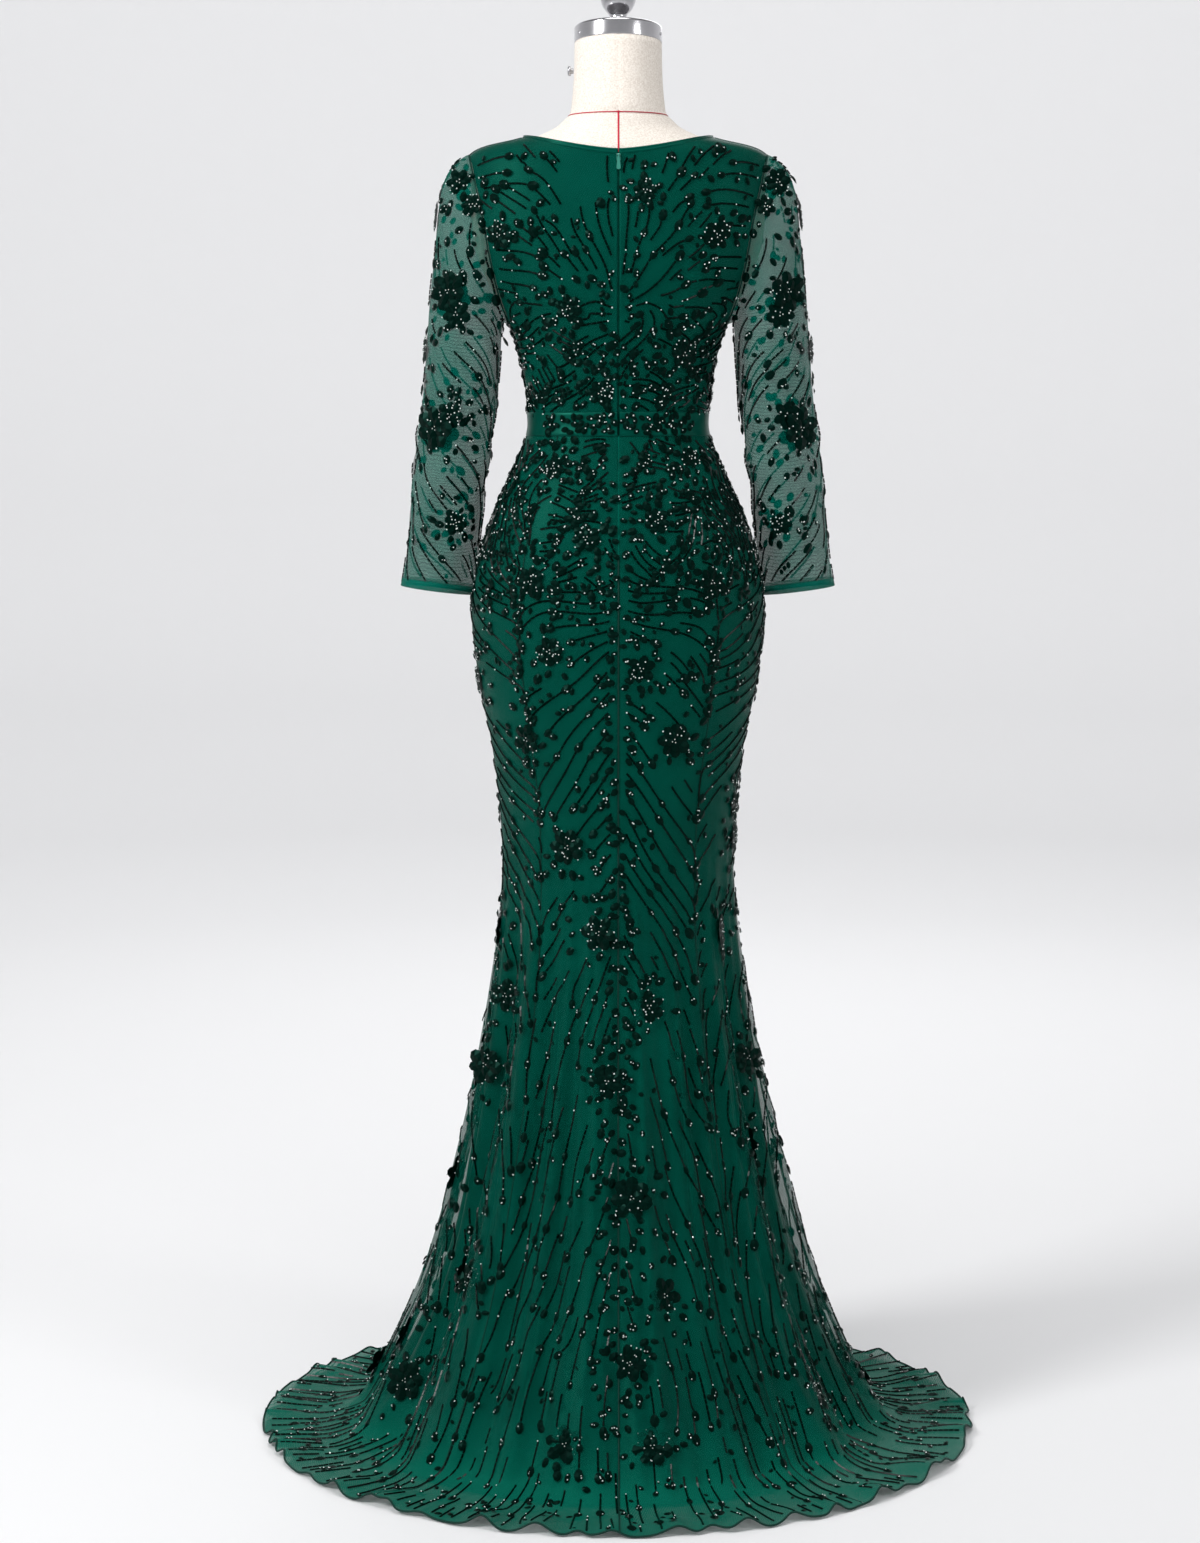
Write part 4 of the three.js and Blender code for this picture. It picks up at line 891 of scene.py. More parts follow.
class Beadwork:
    def __init__(self, surface, tight):
        self.surface, self.tight = surface, tight
        self.taken = {}
        self.bugles, self.leaves, self.crystals = [], [], []

    def isFree(self, spot, distance):
        cell = 0.012
        i, j, k = (int(math.floor(v / cell)) for v in spot)
        for di in (-1, 0, 1):
            for dj in (-1, 0, 1):
                for dk in (-1, 0, 1):
                    for x, y, z, own in self.taken.get((i + di, j + dj, k + dk), ()):
                        if (x - spot[0]) ** 2 + (y - spot[1]) ** 2 + (z - spot[2]) ** 2 < (distance + own) ** 2:
                            return False
        return True

    def take(self, spot, own=0.0):
        cell = 0.012
        key = tuple(int(math.floor(v / cell)) for v in spot)
        self.taken.setdefault(key, []).append((*map(float, spot), own))

    def step(self, row, column, heading, distance):
        found = readSurface(self.surface, row, column)
        if found is None:
            return None
        spot, across, down, normal = found
        lengthAcross = math.sqrt(float(across @ across))
        lengthDown = math.sqrt(float(down @ down))
        if min(lengthAcross, lengthDown) < 1e-6:
            return None
        slant = float(across @ down) / lengthAcross / lengthDown
        rest = math.sqrt(max(1 - slant * slant, 0.05))
        goAcross = math.sin(heading) / rest
        goDown = math.cos(heading) - goAcross * slant
        way = across / lengthAcross * goAcross + down / lengthDown * goDown
        return (row + goDown * distance / lengthDown, column + goAcross * distance / lengthAcross, spot, way,
                normal)

    # A sewn oval of sequins, with a few crystals on it
    def leaf(self, spot, way, normal, length, width, sparkle):
        self.leaves.append((spot, way, normal, length, width))
        side = np.cross(normal, way)
        for n in range(int(rng.binomial(sparkle, 0.34))):
            off = (rng.uniform(-0.32, 0.32) * length * way + rng.uniform(-0.3,
                    0.3) * width * side) + normal * 0.0012
            self.crystals.append((spot + off, way, normal, rng.uniform(1.5, 2.4) / 1000))

    # One string of bugles, which follows the field from its start and curls a little at its end
    def string(self, row, column, field, beads, curl=0.0, tip=0.55, isAllowed=None, berries=0.0,
               sparkle=0.14):
        pitch = 0.0068
        path = []
        for n in range(beads):
            here = readSurface(self.surface, row, column)
            if here is None or (isAllowed and not isAllowed(here[0])):
                break
            if not self.isFree(here[0], self.tight(float(here[0][2]))):
                break
            heading = field(row, column, here[0]) + curl * max(0, (n / beads - 0.5)) * 2
            moved = self.step(row, column, heading, pitch)
            if moved is None:
                break
            path.append(moved[2:])
            row, column = moved[:2]
        if len(path) < 3:
            return False
        nextLeaf = int(rng.integers(5, 12))
        for n, (spot, way, normal) in enumerate(path):
            self.take(spot)
            middle = spot + way * pitch * 0.5
            if n == nextLeaf and n < len(path) - 3:
                size = rng.uniform(11.5, 16) / 1000
                self.leaf(middle, way, normal, size, size * rng.uniform(0.6, 0.74), int(rng.integers(2, 6)))
                nextLeaf += int(rng.integers(7, 13))
                continue
            if rng.random() < sparkle * 0.35:
                self.crystals.append((spot + normal * 0.0004, way, normal, rng.uniform(1.7, 2.6) / 1000))
            if rng.random() < berries:
                side = np.cross(normal, way) * rng.choice([-1, 1])
                lean = way * 0.8 + side
                lean = lean / math.sqrt(float(lean @ lean))
                size = rng.uniform(6, 10.5) / 1000
                self.leaf(middle + side * 0.0028 + lean * size * 0.45, lean, normal, size,
                          size * rng.uniform(0.6, 0.8),
                          int(rng.integers(0, 3)))
            self.bugles.append((middle, way, normal, rng.uniform(5.7, 6.5) / 1000))
        if rng.random() < tip:
            spot, way, normal = path[-1]
            size = rng.uniform(12, 17) / 1000
            end = spot + way * (pitch + size / 2)
            if isAllowed is None or isAllowed(end + way * size * 0.4):
                self.leaf(end, way, normal, size, size * rng.uniform(0.62, 0.76), int(rng.integers(2, 6)))
                self.take(end, 0.002)
        return True

    # A flower of overlapping rounded petals, each with a beaded rim
    def rosette(self, row, column, size, halo=12, isAllowed=None):
        here = self.step(row, column, rng.uniform(0, 6.3), 0.001)
        if here is None:
            return
        spot, way, normal = here[2:]
        side = np.cross(normal, way)
        start = rng.uniform(0, 6.3)
        for ring, (reach, share, petals) in enumerate(((0.30, 1.0, int(rng.integers(6, 8))),
                                                       (0.15, 0.72, 4))):
            for k in range(petals):
                angle = start + ring * 0.5 + k * 2 * math.pi / petals + rng.uniform(-0.12, 0.12)
                out = math.cos(angle) * way + math.sin(angle) * side
                beside = -math.sin(angle) * way + math.cos(angle) * side
                length = size * 0.42 * share * rng.uniform(0.86, 1.1)
                width = length * rng.uniform(0.74, 0.92)
                middle = spot + out * size * reach + normal * (0.0006 + ring * 0.0012)
                self.leaves.append((middle, out + normal * 0.10, normal, length, width))
                for along, across in ((0.48, 0), (0.33, 0.36), (0.33, -0.36), (0.05, 0.47), (0.05, -0.47)):
                    if rng.random() < 0.2:
                        self.crystals.append((middle + out * along * length + beside * across * width + normal * 0.0010,
                                              out, normal, rng.uniform(1.7, 2.5) / 1000))
        for k in range(3):
            angle = start + k * math.pi / 1.5
            self.crystals.append((spot + (math.cos(angle) * way + math.sin(angle) * side) * 0.0024 + normal * 0.0026, way,
                                  normal, 0.0017))
        self.take(spot, size * 0.36)
        for k in range(halo):
            turned = rng.uniform(0, 6.3)
            beside = self.step(row, column, turned, size * rng.uniform(0.56, 1.15))
            there = None if beside is None else self.step(beside[0], beside[1],
                                                          turned + rng.uniform(-0.8, 0.8), 0.001)
            if there is not None and self.isFree(there[2],
                                                 0.007) and (isAllowed is None or isAllowed(there[2])):
                length = rng.uniform(9, 15) / 1000
                self.leaf(there[2] + there[4] * 0.0006, there[3], there[4], length,
                          length * rng.uniform(0.62, 0.8),
                          int(rng.integers(1, 5)))
                self.take(there[2], 0.001)


# Bead shapes with x along, y across and z out of the cloth, in units of their own length and width
bugleShape = (np.array([(-0.5, -0.5, 0), (-0.5, 0.5, 0), (-0.5, 0, 0.8), (0.5, -0.5, 0), (0.5, 0.5, 0),
                        (0.5, 0, 0.8)]),
              [(0, 1, 2), (3, 5, 4), (0, 3, 4), (0, 4, 1), (1, 4, 5), (1, 5, 2), (2, 5, 3), (2, 3, 0)])
ringAngles = np.radians(np.arange(8) * 45)
leafShape = (np.concatenate([
    np.stack([0.5 * np.cos(ringAngles), 0.5 * np.sin(ringAngles) * np.array([1, .94, 1, .94, 1, .94, 1, .94]),
              np.full(8, 0.02)], -1),
    [(0.14, 0, 0.16), (-0.14, 0, 0.16), (0, 0, -0.04)]]),
    [(0, 1, 8), (1, 2, 8), (2, 9, 8), (2, 3, 9), (3, 4, 9), (4, 5, 9), (5, 6, 9), (6, 8, 9), (6, 7, 8),
     (7, 0, 8)]
    + [((k + 1) % 8, k, 10) for k in range(8)])
beadShape = (np.array([(0.5, 0, 0), (0, 0.5, 0), (-0.5, 0, 0), (0, -0.5, 0), (0, 0, 0.5), (0, 0, -0.35)]),
             [(0, 1, 4), (1, 2, 4), (2, 3, 4), (3, 0, 4), (1, 0, 5), (2, 1, 5), (3, 2, 5), (0, 3, 5)])


def placeCopies(shape, spots, ways, normals, lengths, widths, heights, rise):
    ways = ways / np.linalg.norm(ways, axis=1, keepdims=True)
    sides = np.cross(normals, ways)
    sides = sides / np.linalg.norm(sides, axis=1, keepdims=True)
    ups = np.cross(ways, sides)
    template, faces = shape
    vertices = (spots[:, None] + ups[:, None] * rise
                + template[None, :, 0:1] * (ways * lengths[:, None])[:, None]
                + template[None, :, 1:2] * (sides * widths[:, None])[:, None]
                + template[None, :, 2:3] * (ups * heights[:, None])[:, None])
    faces = (np.asarray(faces)[None] + (np.arange(len(spots)) * len(template))[:, None, None]).reshape(-1, 3)
    return vertices.reshape(-1, 3), faces


beadCounts = {}


def sewOn(name, work, keep, slotName):
    for kind, entries, shape, material in (
        ("bugleBeads", work.bugles, bugleShape, bugleGlass),
        ("sequinLeaves", work.leaves, leafShape, sequinFilm),
        ("crystalBeads", work.crystals, beadShape, crystal),
    ):
        chosen = [entry for entry in entries if keep(entry[0])]
        if not chosen:
            continue
        spots, ways, normals = (np.array([entry[c] for entry in chosen]) for c in range(3))
        lengths = np.array([entry[3] for entry in chosen])
        if kind == "bugleBeads":
            widths, heights, rise = np.full(len(chosen), 0.0026), np.full(len(chosen), 0.0020), 0.0003
        elif kind == "sequinLeaves":
            widths, heights, rise = np.array([entry[4] for entry in chosen]), lengths, 0.0006
        else:
            widths, heights, rise = lengths, lengths, 0.0012
        vertices, faces = placeCopies(shape, spots, ways, normals, lengths, widths, heights, rise)
        piece = addPiece(kind + name, vertices, faces, material, isSmooth=False, slot=slotName)
        beadCounts[piece.name] = (len(chosen), len(faces))


embroidery = {"seeds": 1.0, "gapHeights": (0.0, 0.9, 1.06, 1.14, 1.32, 1.40, 1.46, 1.62),
              "gaps": (0.0108, 0.0108, 0.0080, 0.0060, 0.0058, 0.0068, 0.0090, 0.0092), "sleeveGap": 0.0118}


def gownGap(z):
    return float(np.interp(z, embroidery["gapHeights"], embroidery["gaps"]))


def waver(spot, scale=1.0):
    x, y, z = (float(v) * scale for v in spot)
    return 0.6 * math.sin(31 * x + 17 * z + 9 * y) + 0.4 * math.sin(53 * z - 29 * x + 23 * y + 1.3)


# Where the strings of the skirt run: out from the centre seams and in from the sides, steeper towards the floor
skirtLean = {"height": (0.0, 0.1, 0.2, 0.5, 0.7, 0.8, 0.95, 1.08, 1.26),
             "middle": (0, 0.08, 0.22, 0.3, 0.55, 0.65, 0.9, 1.1, 1.15),
             "side": (0, -0.06, -0.2, -0.3, -0.6, -0.8, -1.2, -0.6, 0.9),
             "waver": (0.1, 0.12, 0.14, 0.15, 0.16, 0.18, 0.22, 0.75, 0.95)}
skirtAngleStep = 1.5
skirtRows = np.arange(alongAtHeight(1.2605), hemAlong, -0.007)
skirtCloth = makeSurface(bodySurface(np.arange(0, 360, skirtAngleStep)[None, :], skirtRows[:, None]),
                         closed=True,
                         outward=np.array([0, 0, 0.6]))


def skirtField(row, column, spot):
    angle = (column * skirtAngleStep + 180) % 360 - 180
    outward = math.copysign(1, angle) * (1 if abs(angle) <= 90 else -1)
    distance = min(abs(angle), 180 - abs(angle))
    z = float(spot[2])
    middle, side, loose = (float(np.interp(z, skirtLean["height"], skirtLean[k])) for k in ("middle", "side",
            "waver"))
    share = float(smooth(distance, princess - 5, princess + 5))
    lean = outward * (middle * (1 - share) + side * share)
    if z > 1.08:  # the twigs of the waist and hips turn either way
        lean = lean * math.copysign(1, math.sin(71 * float(spot[0]) + 37 * z + 2 * float(spot[1])) + 0.35)
    return lean + loose * waver(spot)


def onSkirt(spot):
    if spot[2] > 1.258:
        return False
    if spot[1] > 0 and abs(spot[0]) < (0.0048 if spot[2] > zipper["end"] else 0.0022):
        return False
    return spot[2] > 0.02 or math.hypot(spot[0], spot[1]) < 0.44


# Flowers, by where their middles lie: across and up in mm, and size in mm
backFlowers = [(145, 1503, 34), (-119, 1503, 34), (-80, 1359, 34), (22, 1312, 30), (112, 891, 34),
               (-66, 891, 38),
               (61, 757, 40), (22, 652, 42), (-128, 642, 38), (16, 472, 40), (164, 476, 44), (-15, 337, 48),
               (-185, 326, 44),
               (187, 215, 44), (-17, 149, 40), (-58, 220, 40), (267, 78, 46), (64, 65, 44), (-39, 65, 44),
               (-248, 83, 42),
               (38, 1135, 32), (108, 1083, 34), (-113, 1086, 34), (-45, 1159, 30), (-88, 1236, 26),
               (78, 1222, 26),
               (-150, 760, 36), (140, 560, 38), (-36, 560, 36), (84, 1000, 32), (-30, 980, 32),
               (60, 1420, 32), (-30, 1560, 28)]
frontFlowers = [(72, 1500, 34), (-86, 1488, 36), (118, 1440, 30), (-58, 1372, 32), (28, 1340, 30),
                (0, 1208, 34),
                (62, 1130, 34), (-74, 1112, 36), (128, 1060, 32), (-20, 1010, 34), (-128, 930, 34),
                (70, 900, 38),
                (-52, 812, 38), (112, 742, 36), (0, 690, 42), (-122, 640, 38), (60, 560, 40), (-34, 480, 42),
                (150, 440, 42),
                (-160, 380, 44), (24, 330, 46), (-70, 250, 42), (190, 220, 44), (96, 140, 44),
                (-200, 150, 44), (-24, 110, 44),
                (250, 70, 42), (-130, 64, 40)]
sideFlowers = [(-10, 1120, 34), (24, 960, 34), (-30, 800, 36), (20, 640, 38), (-46, 480, 40), (52, 330, 42),
               (-90, 210, 42),
               (70, 130, 42), (-20, 60, 42)]


def nearestCell(surface, target, facing):
    points, normals = surface["points"], surface["normals"]
    facesIt = (normals * facing).sum(2) > 0.15
    off = (points - target) * (1 - np.abs(facing))
    distance = np.where(facesIt, (off**2).sum(2), 9)
    return np.unravel_index(int(distance.argmin()), distance.shape)


def growOn(work, field, isAllowed, count, lengths, curl, tip, berries=None):
    points = work.surface["points"]
    girths = np.linalg.norm(np.diff(points, axis=1), axis=2).sum(1)
    drops = np.linalg.norm(np.diff(points, axis=0), axis=2).mean(1)
    weights = girths[:-1] * drops
    starts = rng.choice(len(weights), size=count, p=weights / weights.sum()) + rng.random(count)
    columns = rng.random(count) * (points.shape[1] - (0 if work.surface["closed"] else 1.01))
    grown = 0
    for row, column in zip(starts, columns):
        beads = int(rng.integers(*lengths))
        found = readSurface(work.surface, float(row), float(column))
        if found is None:
            continue
        share = berries(float(found[0][2])) if berries else 0.0
        grown += work.string(float(row), float(column), field, beads, float(rng.choice([-1, 1])) * curl, tip,
                             isAllowed,
                             share, 0.16 + 0.3 * share)
    return grown


# Single leaves that fill what the strings leave bare
def scatterLeaves(work, isAllowed, count, gap):
    points = work.surface["points"]
    for n in range(count):
        row, column = rng.random() * (points.shape[0] - 1.01), rng.random() * (points.shape[1] - 1.01)
        found = readSurface(work.surface, row, column)
        if found is None or not isAllowed(found[0]) or not work.isFree(found[0], gap):
            continue
        here = work.step(row, column, rng.uniform(0, 6.3), 0.001)
        if here is not None:
            size = rng.uniform(9, 16) / 1000
            work.leaf(here[2] + here[4] * 0.0006, here[3], here[4], size, size * rng.uniform(0.62, 0.8),
                      int(rng.integers(1, 5)))
            work.take(here[2], 0.001)


skirtWork = Beadwork(skirtCloth, gownGap)
for flowers, facing in ((backFlowers, (0, 1, 0)), (frontFlowers, (0, -1, 0))):
    for x, z, size in flowers:
        if z < 1255:
            row, column = nearestCell(skirtCloth, np.array([x, 0, z]) / 1000, np.array(facing))
            skirtWork.rosette(float(row), float(column), size * 1.14 / 1000, 14, onSkirt)
for way in (1, -1):
    for y, z, size in sideFlowers:
        row, column = nearestCell(skirtCloth, np.array([0, y * way, z]) / 1000, np.array([way, 0, 0]))
        skirtWork.rosette(float(row), float(column), size * 1.14 / 1000, 14, onSkirt)


# Twigs with small leaves on the waist and hips, bare strings further down, and a few again near the floor
def skirtBerries(z):
    return float(np.interp(z, (0.0, 0.12, 0.3, 0.9, 1.06, 1.14, 1.26),
                           (0.12, 0.1, 0.04, 0.05, 0.30, 0.50, 0.54)))


# A thick spine of leaves and crystals down both centre seams
def addSpine(work, middle, heights, rowAt, step, reach):
    for way in (-1, 1):
        for z in np.arange(*heights):
            z = z + rng.uniform(-0.006, 0.006)
            out = reach[0] + (reach[1] - reach[0]) * rng.random() ** 1.6
            spotColumn = middle + way * out / step
            here = work.step(float(rowAt(z)), float(spotColumn), way * rng.uniform(0.2, 1.6), 0.001)
            if here is None:
                continue
            size = rng.uniform(8, 15) / 1000
            work.leaf(here[2] + here[4] * 0.0006, here[3], here[4], size, size * rng.uniform(0.62, 0.8),
                      int(rng.integers(1, 5)))
            work.take(here[2], 0.001)


def skirtRowAt(z):
    return (alongAtHeight(z) - skirtRows[0]) / -0.007


for middle in (0, 180):
    for way in (-1, 1):  # strings that leave the centre seam, then strings that come in from the side
        for z in np.arange(1.10, 0.12, -0.0125):
            start = middle + way * rng.uniform(2.4, 3.6)
            skirtWork.string(float(skirtRowAt(z)), (start / skirtAngleStep) % 240, skirtField, 26, 0.0, 0.9,
                             onSkirt,
                             skirtBerries(z))
        for z in np.arange(1.08, 0.30, -0.0125):
            start = middle + way * rng.uniform(80, 88)
            skirtWork.string(float(skirtRowAt(z)), (start / skirtAngleStep) % 240, skirtField, 24, 0.0, 0.9,
                             onSkirt,
                             skirtBerries(z))
    addSpine(skirtWork, middle / skirtAngleStep, (1.10, 0.08, -0.009), skirtRowAt, skirtAngleStep, (1.2, 9.0))
growOn(skirtWork, skirtField, onSkirt, int(2600 * embroidery["seeds"]), (12, 28), 0.2, 0.8, skirtBerries)
growOn(skirtWork, skirtField, onSkirt, int(7000 * embroidery["seeds"]), (5, 14), 0.6, 0.5, skirtBerries)
hips = Beadwork({**skirtCloth, "points": skirtCloth["points"][:34], "normals": skirtCloth["normals"][:34]},
                gownGap)
hips.taken, hips.bugles, hips.leaves, hips.crystals = skirtWork.taken, skirtWork.bugles, skirtWork.leaves, skirtWork.crystals
growOn(hips, skirtField, onSkirt, int(3500 * embroidery["seeds"]), (4, 10), 0.6, 0.9, skirtBerries)
scatterLeaves(hips, onSkirt, int(3200 * embroidery["seeds"]), 0.0066)
print("skirt strings", len(skirtWork.bugles))


sewOn("SkirtBackUpper", skirtWork, lambda p: p[1] > 0 and p[2] > 0.6, "beaded_tulle")
sewOn("SkirtBackLower", skirtWork, lambda p: p[1] > 0 and p[2] <= 0.6, "beaded_tulle")
sewOn("SkirtFrontUpper", skirtWork, lambda p: p[1] <= 0 and p[2] > 0.6, "beaded_tulle")
sewOn("SkirtFrontLower", skirtWork, lambda p: p[1] <= 0 and p[2] <= 0.6, "beaded_tulle")


# The bodice: feathers that fan out from low in the middle to the shoulders, and twigs towards the waist
def bodiceField(root):
    def field(row, column, spot):
        x, z = float(spot[0]), float(spot[2])
        fan = math.atan2(x * 1.25 + 0.004 * math.copysign(1, x), -(z - root))
        twig = math.copysign(0.95, x * (math.sin(67 * x + 41 * z) + 0.35)) + 0.6 * waver(spot)
        share = float(smooth(z, root + 0.01, root + 0.07))
        return fan * share + twig * (1 - share) + 0.22 * waver(spot, 1.6)
    return field


def bodiceBerries(z):
    return float(np.interp(z, (1.29, 1.36, 1.44, 1.5, 1.62), (0.52, 0.46, 0.30, 0.08, 0.08)))


def wholeBack(half):
    return np.concatenate([(half * flip)[:, :0:-1], half], 1)


for name, half, root, flowers, facing in (
    ("BodiceBack", backHalf, 1.375, backFlowers, (0, 1, 0)),
    ("BodiceFront", frontHalf, 1.345, frontFlowers, (0, -1, 0)),
):
    surface = makeSurface(wholeBack(half), outward=np.array([0, 0, 1.45]))
    work = Beadwork(surface, gownGap)
    for x, z, size in flowers:
        if z > 1295:
            row, column = nearestCell(surface, np.array([x, 0, z]) / 1000, np.array(facing))
            work.rosette(float(row), float(column), size * 1.12 / 1000)
    zipSide = name == "BodiceBack"
    edgeRow = surface["points"][6]

    def onBodice(spot):
        if spot[2] < 1.2935 or (zipSide and abs(spot[0]) < 0.0048):
            return False
        armhole = float(curveThrough(armholeHeights, armholeBack if zipSide else armholeFront, spot[2]))
        if spot[2] > armpitHeight and abs(spot[0]) > armhole - 0.005:
            return False
        bare = ((spot[0] - 0.045) / 0.032) ** 2 + ((spot[2] - 1.566) / 0.030) ** 2 < 1
        return spot[2] < float(np.interp(spot[0], edgeRow[:, 0], edgeRow[:, 2])) and not (zipSide and bare)

    # feathers from low in the middle, and combs that come in from the armholes
    field = bodiceField(root)
    for way in (-1, 1):
        for z in np.arange(root + 0.012, root + 0.12, 0.010):
            row, column = nearestCell(surface, np.array([way * rng.uniform(0.008, 0.016), 0, z]),
                                      np.array(facing))
            work.string(float(row), float(column), field, int(rng.integers(9, 22)), way * 0.3, 1.0, onBodice,
                        0.05, 0.2)
        for z in np.arange(1.452, 1.600, 0.0125):
            armhole = float(curveThrough(armholeHeights, armholeBack if zipSide else armholeFront, z)) - 0.008
            row, column = nearestCell(surface, np.array([way * armhole, 0, z]), np.array(facing))
            work.string(float(row), float(column), lambda r, c, p: -way * (1.45 + 0.15 * waver(p)),
                        int(rng.integers(5, 10)),
                        way * 0.3, 1.0, onBodice, 0.04, 0.3)
        for z in np.arange(1.30, 1.60, 0.012):
            row, column = nearestCell(surface, np.array([way * rng.uniform(0.008, 0.024), 0, z]),
                                      np.array(facing))
            found = readSurface(surface, float(row), float(column))
            if found is not None and onBodice(found[0]) and (z < 1.46 or rng.random() < 0.35):
                size = rng.uniform(8, 14) / 1000
                spin = rng.uniform(0, 6.3)
                along = math.cos(spin) * found[1] / np.linalg.norm(found[1]) + math.sin(spin) * found[2] / np.linalg.norm(found[2])
                work.leaf(found[0] + found[3] * 0.0006, along, found[3], size, size * 0.7,
                          int(rng.integers(1, 5)))
    growOn(work, field, onBodice, int(1000 * embroidery["seeds"]), (7, 15), 0.45, 0.85, bodiceBerries)
    growOn(work, field, onBodice, int(3200 * embroidery["seeds"]), (3, 8), 0.6, 0.7, bodiceBerries)
    scatterLeaves(work, lambda p: onBodice(p) and (p[2] < 1.42 or rng.random() < 0.12),
                  int(2600 * embroidery["seeds"]), 0.0070)
    sewOn(name, work, lambda p: True, "beaded_tulle")
bandRows = np.linspace(1.2885, 1.2635, 6)
bandSurface = makeSurface(bodySurface(np.arange(0, 360, 1.5)[None, :], alongAtHeight(bandRows)[:, None],
                                      inside=-0.0014),
                          closed=True, outward=np.array([0, 0, 1.276]))
bandWork = Beadwork(bandSurface, gownGap)


def onBand(spot):
    return abs(spot[0]) < 0.092 and not (spot[1] > 0 and abs(spot[0]) < 0.0048)


for n in range(1100):
    middle, spread = rng.choice([0, 180]), rng.normal(0, 32)
    here = bandWork.step(rng.uniform(0.2, 4.7), (middle + spread) % 360 / 1.5, rng.uniform(0, 6.3), 0.001)
    if here is not None and onBand(here[2]) and bandWork.isFree(here[2], 0.0056):
        size = rng.uniform(8, 13) / 1000
        bandWork.leaf(here[2] + here[4] * 0.0006, here[3], here[4], size, size * 0.72,
                      int(rng.integers(1, 5)))
        bandWork.take(here[2], 0.001)
growOn(bandWork, lambda r, c, p: math.copysign(1.3, math.sin(90 * p[0] + 200 * p[2])) + 1.1 * waver(p),
       onBand,
       int(900 * embroidery["seeds"]), (3, 9), 0.7, 0.6, lambda z: 0.4)
sewOn("Waistband", bandWork, lambda p: True, "beaded_tulle")
print("bodice beaded")

# Flowers of the sleeve: degrees from the inside of the arm, row of the grid, and size in mm
sleeveFlowers = ((122, 27, 46), (104, 30, 34), (120, 56, 48), (98, 53, 32), (-118, 28, 46), (-116, 57, 46),
                 (150, 9, 30),
                 (-150, 10, 30), (120, 7, 26), (-122, 8, 26), (176, 40, 34), (178, 20, 36), (72, 75, 26),
                 (-70, 75, 28))


def sleeveField(row, column, spot):
    turn = math.radians(column / sleeve["columns"] * 360 - 180)
    return -0.85 * math.sin(turn) * float(smooth(-spot[2], -1.56, -1.44)) + 0.08 * waver(spot)


def sleeveBerries(z):
    return float(np.interp(z, (1.08, 1.35, 1.5, 1.56, 1.64), (0.08, 0.04, 0.12, 0.5, 0.6)))


def onSleeve(spot):
    return spot[2] > 1.082


for name in ("Left", "Right"):
    grid = sleeveGrids[name]
    surface = makeSurface(grid, outward=np.array([grid[..., 0].mean(), grid[..., 1].mean(), 1.3]))
    work = Beadwork(surface, lambda z: embroidery["sleeveGap"] - 0.003 * float(smooth(z, 1.5, 1.58)))
    for turn, row, size in sleeveFlowers:
        column = (turn + 180) / 360 * sleeve["columns"]
        work.rosette(float(row), float(column), size * 1.12 / 1000)
    work.surface = {**surface, "points": surface["points"][2:], "normals": surface["normals"][2:]}
    for turn in np.arange(-172, 173, 5.2):  # strings that start at the armhole
        work.string(float(rng.uniform(0.2, 1.6)), (turn + 180) / 360 * sleeve["columns"], sleeveField,
                    int(rng.integers(8, 24)), 0.1, 0.6, onSleeve,
                    sleeveBerries(1.46 + 0.14 * abs(turn) / 180))
    growOn(work, sleeveField, onSleeve, int(700 * embroidery["seeds"]), (14, 32), 0.12, 0.7, sleeveBerries)
    growOn(work, sleeveField, onSleeve, int(1500 * embroidery["seeds"]), (4, 10), 0.15, 0.5, sleeveBerries)
    sewOn("Sleeve" + name, work, lambda p: True, "sheer_tulle")
print("sleeves beaded", sum(c for _, c in beadCounts.values()), "triangles of trim",
      max(beadCounts.values(), key=lambda v: v[1]))

# A loop over the cloth pieces, which does nothing with them
for name, (piece, grid) in clothPieces.items():
    if name.startswith("tulleBodice"):
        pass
    elif name.startswith("satinBodice"):
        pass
    elif name.startswith("tulleSleeve"):
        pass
    elif name.startswith("sleeveHem"):
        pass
    else:
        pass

# A plain pale floor that curves up all round, lit like a small studio
studio = {"floor": "#f0f0f1", "key": 112.0, "fill": 27.0, "top": 58.0, "behind": 18.0, "backdrop": 130.0,
          "world": 0.24}
profile = np.array([(0.0, 0), (2.0, 0), (4.2, 0), (5.4, 0.06), (6.3, 0.35), (6.9, 1.0), (7.2, 2.0),
                    (7.3, 3.4), (7.3, 5.6)])
turn = np.radians(np.arange(0, 360, 5))
rings = [np.stack([max(r, 0.01) * np.cos(turn), max(r, 0.01) * np.sin(turn), np.full(len(turn), z - 0.0004)],
                  -1)
         for r, z in profile]
floorMesh = bpy.data.meshes.new("paleFloor")
floorFaces = [list(f) for f in gridFaces(len(rings), len(turn), closed=True)] + [list(range(len(turn)))[::-1]]
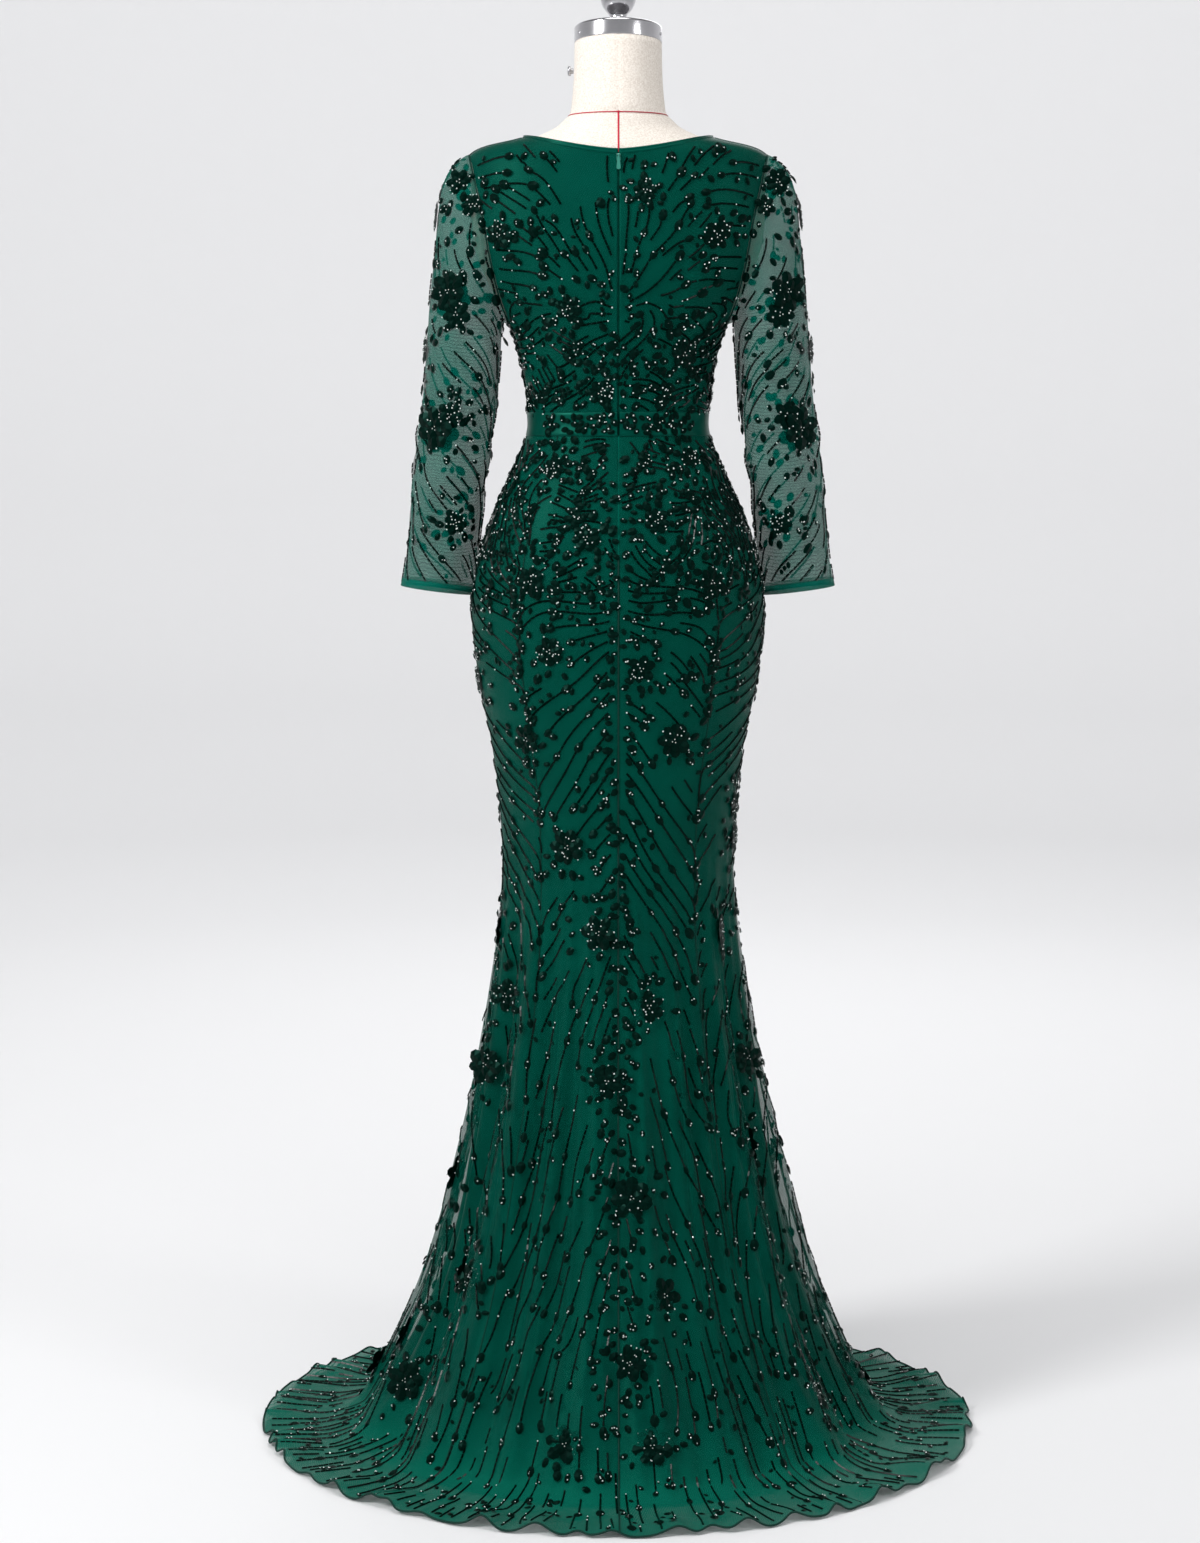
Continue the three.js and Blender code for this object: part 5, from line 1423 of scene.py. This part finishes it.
floorMesh.from_pydata(np.concatenate(rings), [], floorFaces)
floorMesh.polygons.foreach_set("use_smooth", np.ones(len(floorMesh.polygons), bool))
paper = newMaterial("studioPaper",
                    {"Base Color": hexColour(studio["floor"]), "Roughness": 0.9,
                     "Specular IOR Level": 0.1})[0]
floorMesh.materials.append(paper)
paleFloor = bpy.data.objects.new("paleFloor", floorMesh)
bpy.context.scene.collection.objects.link(paleFloor)

for name, at, towards, size, power in (
    ("keyLight", (2.9, 2.1, 2.9), (0, 0, 1.4), (1.0, 1.4), studio["key"]),
    ("fillLight", (-3.0, 2.4, 2.4), (0, 0, 0.9), (0.9, 1.3), studio["fill"]),
    ("topLight", (0.1, 1.2, 4.4), (0, 0, 0.5), (2.2, 2.2), studio["top"]),
    ("frontLight", (-0.8, -3.4, 3.0), (0, 0, 0.8), (1.6, 1.6), studio["behind"]),
    ("backdropLight", (0.0, -2.0, 4.8), (0, -7.2, 1.6), (4.0, 1.0), studio["backdrop"]),
):
    light = bpy.data.lights.new(name, "AREA")
    light.shape = "RECTANGLE"
    light.size, light.size_y = size
    light.energy = power
    lamp = bpy.data.objects.new(name, light)
    lamp.location = at
    aim = np.array(towards, float) - np.array(at)
    lamp.rotation_euler = (math.atan2(math.hypot(aim[0], aim[1]), -aim[2]), 0, math.atan2(-aim[0], aim[1]))
    bpy.context.scene.collection.objects.link(lamp)

world = bpy.data.worlds.new("paleStudio")
world.use_nodes = True
world.node_tree.nodes["Background"].inputs["Color"].default_value = hexColour("#f2f3f5")
world.node_tree.nodes["Background"].inputs["Strength"].default_value = studio["world"]
bpy.context.scene.world = world
bpy.context.scene.view_settings.view_transform = "Standard"

lens = bpy.data.cameras.new("photoCamera")
lens.lens, lens.sensor_width = 73.9, 36
lens.clip_end = 60
camera = bpy.data.objects.new("photoCamera", lens)
camera.location = (0.0225, 3.985, 1.287)
camera.rotation_euler = (math.radians(90 - 6.42), 0, math.radians(180))
bpy.context.scene.collection.objects.link(camera)
bpy.context.scene.camera = camera

print("studio ready")
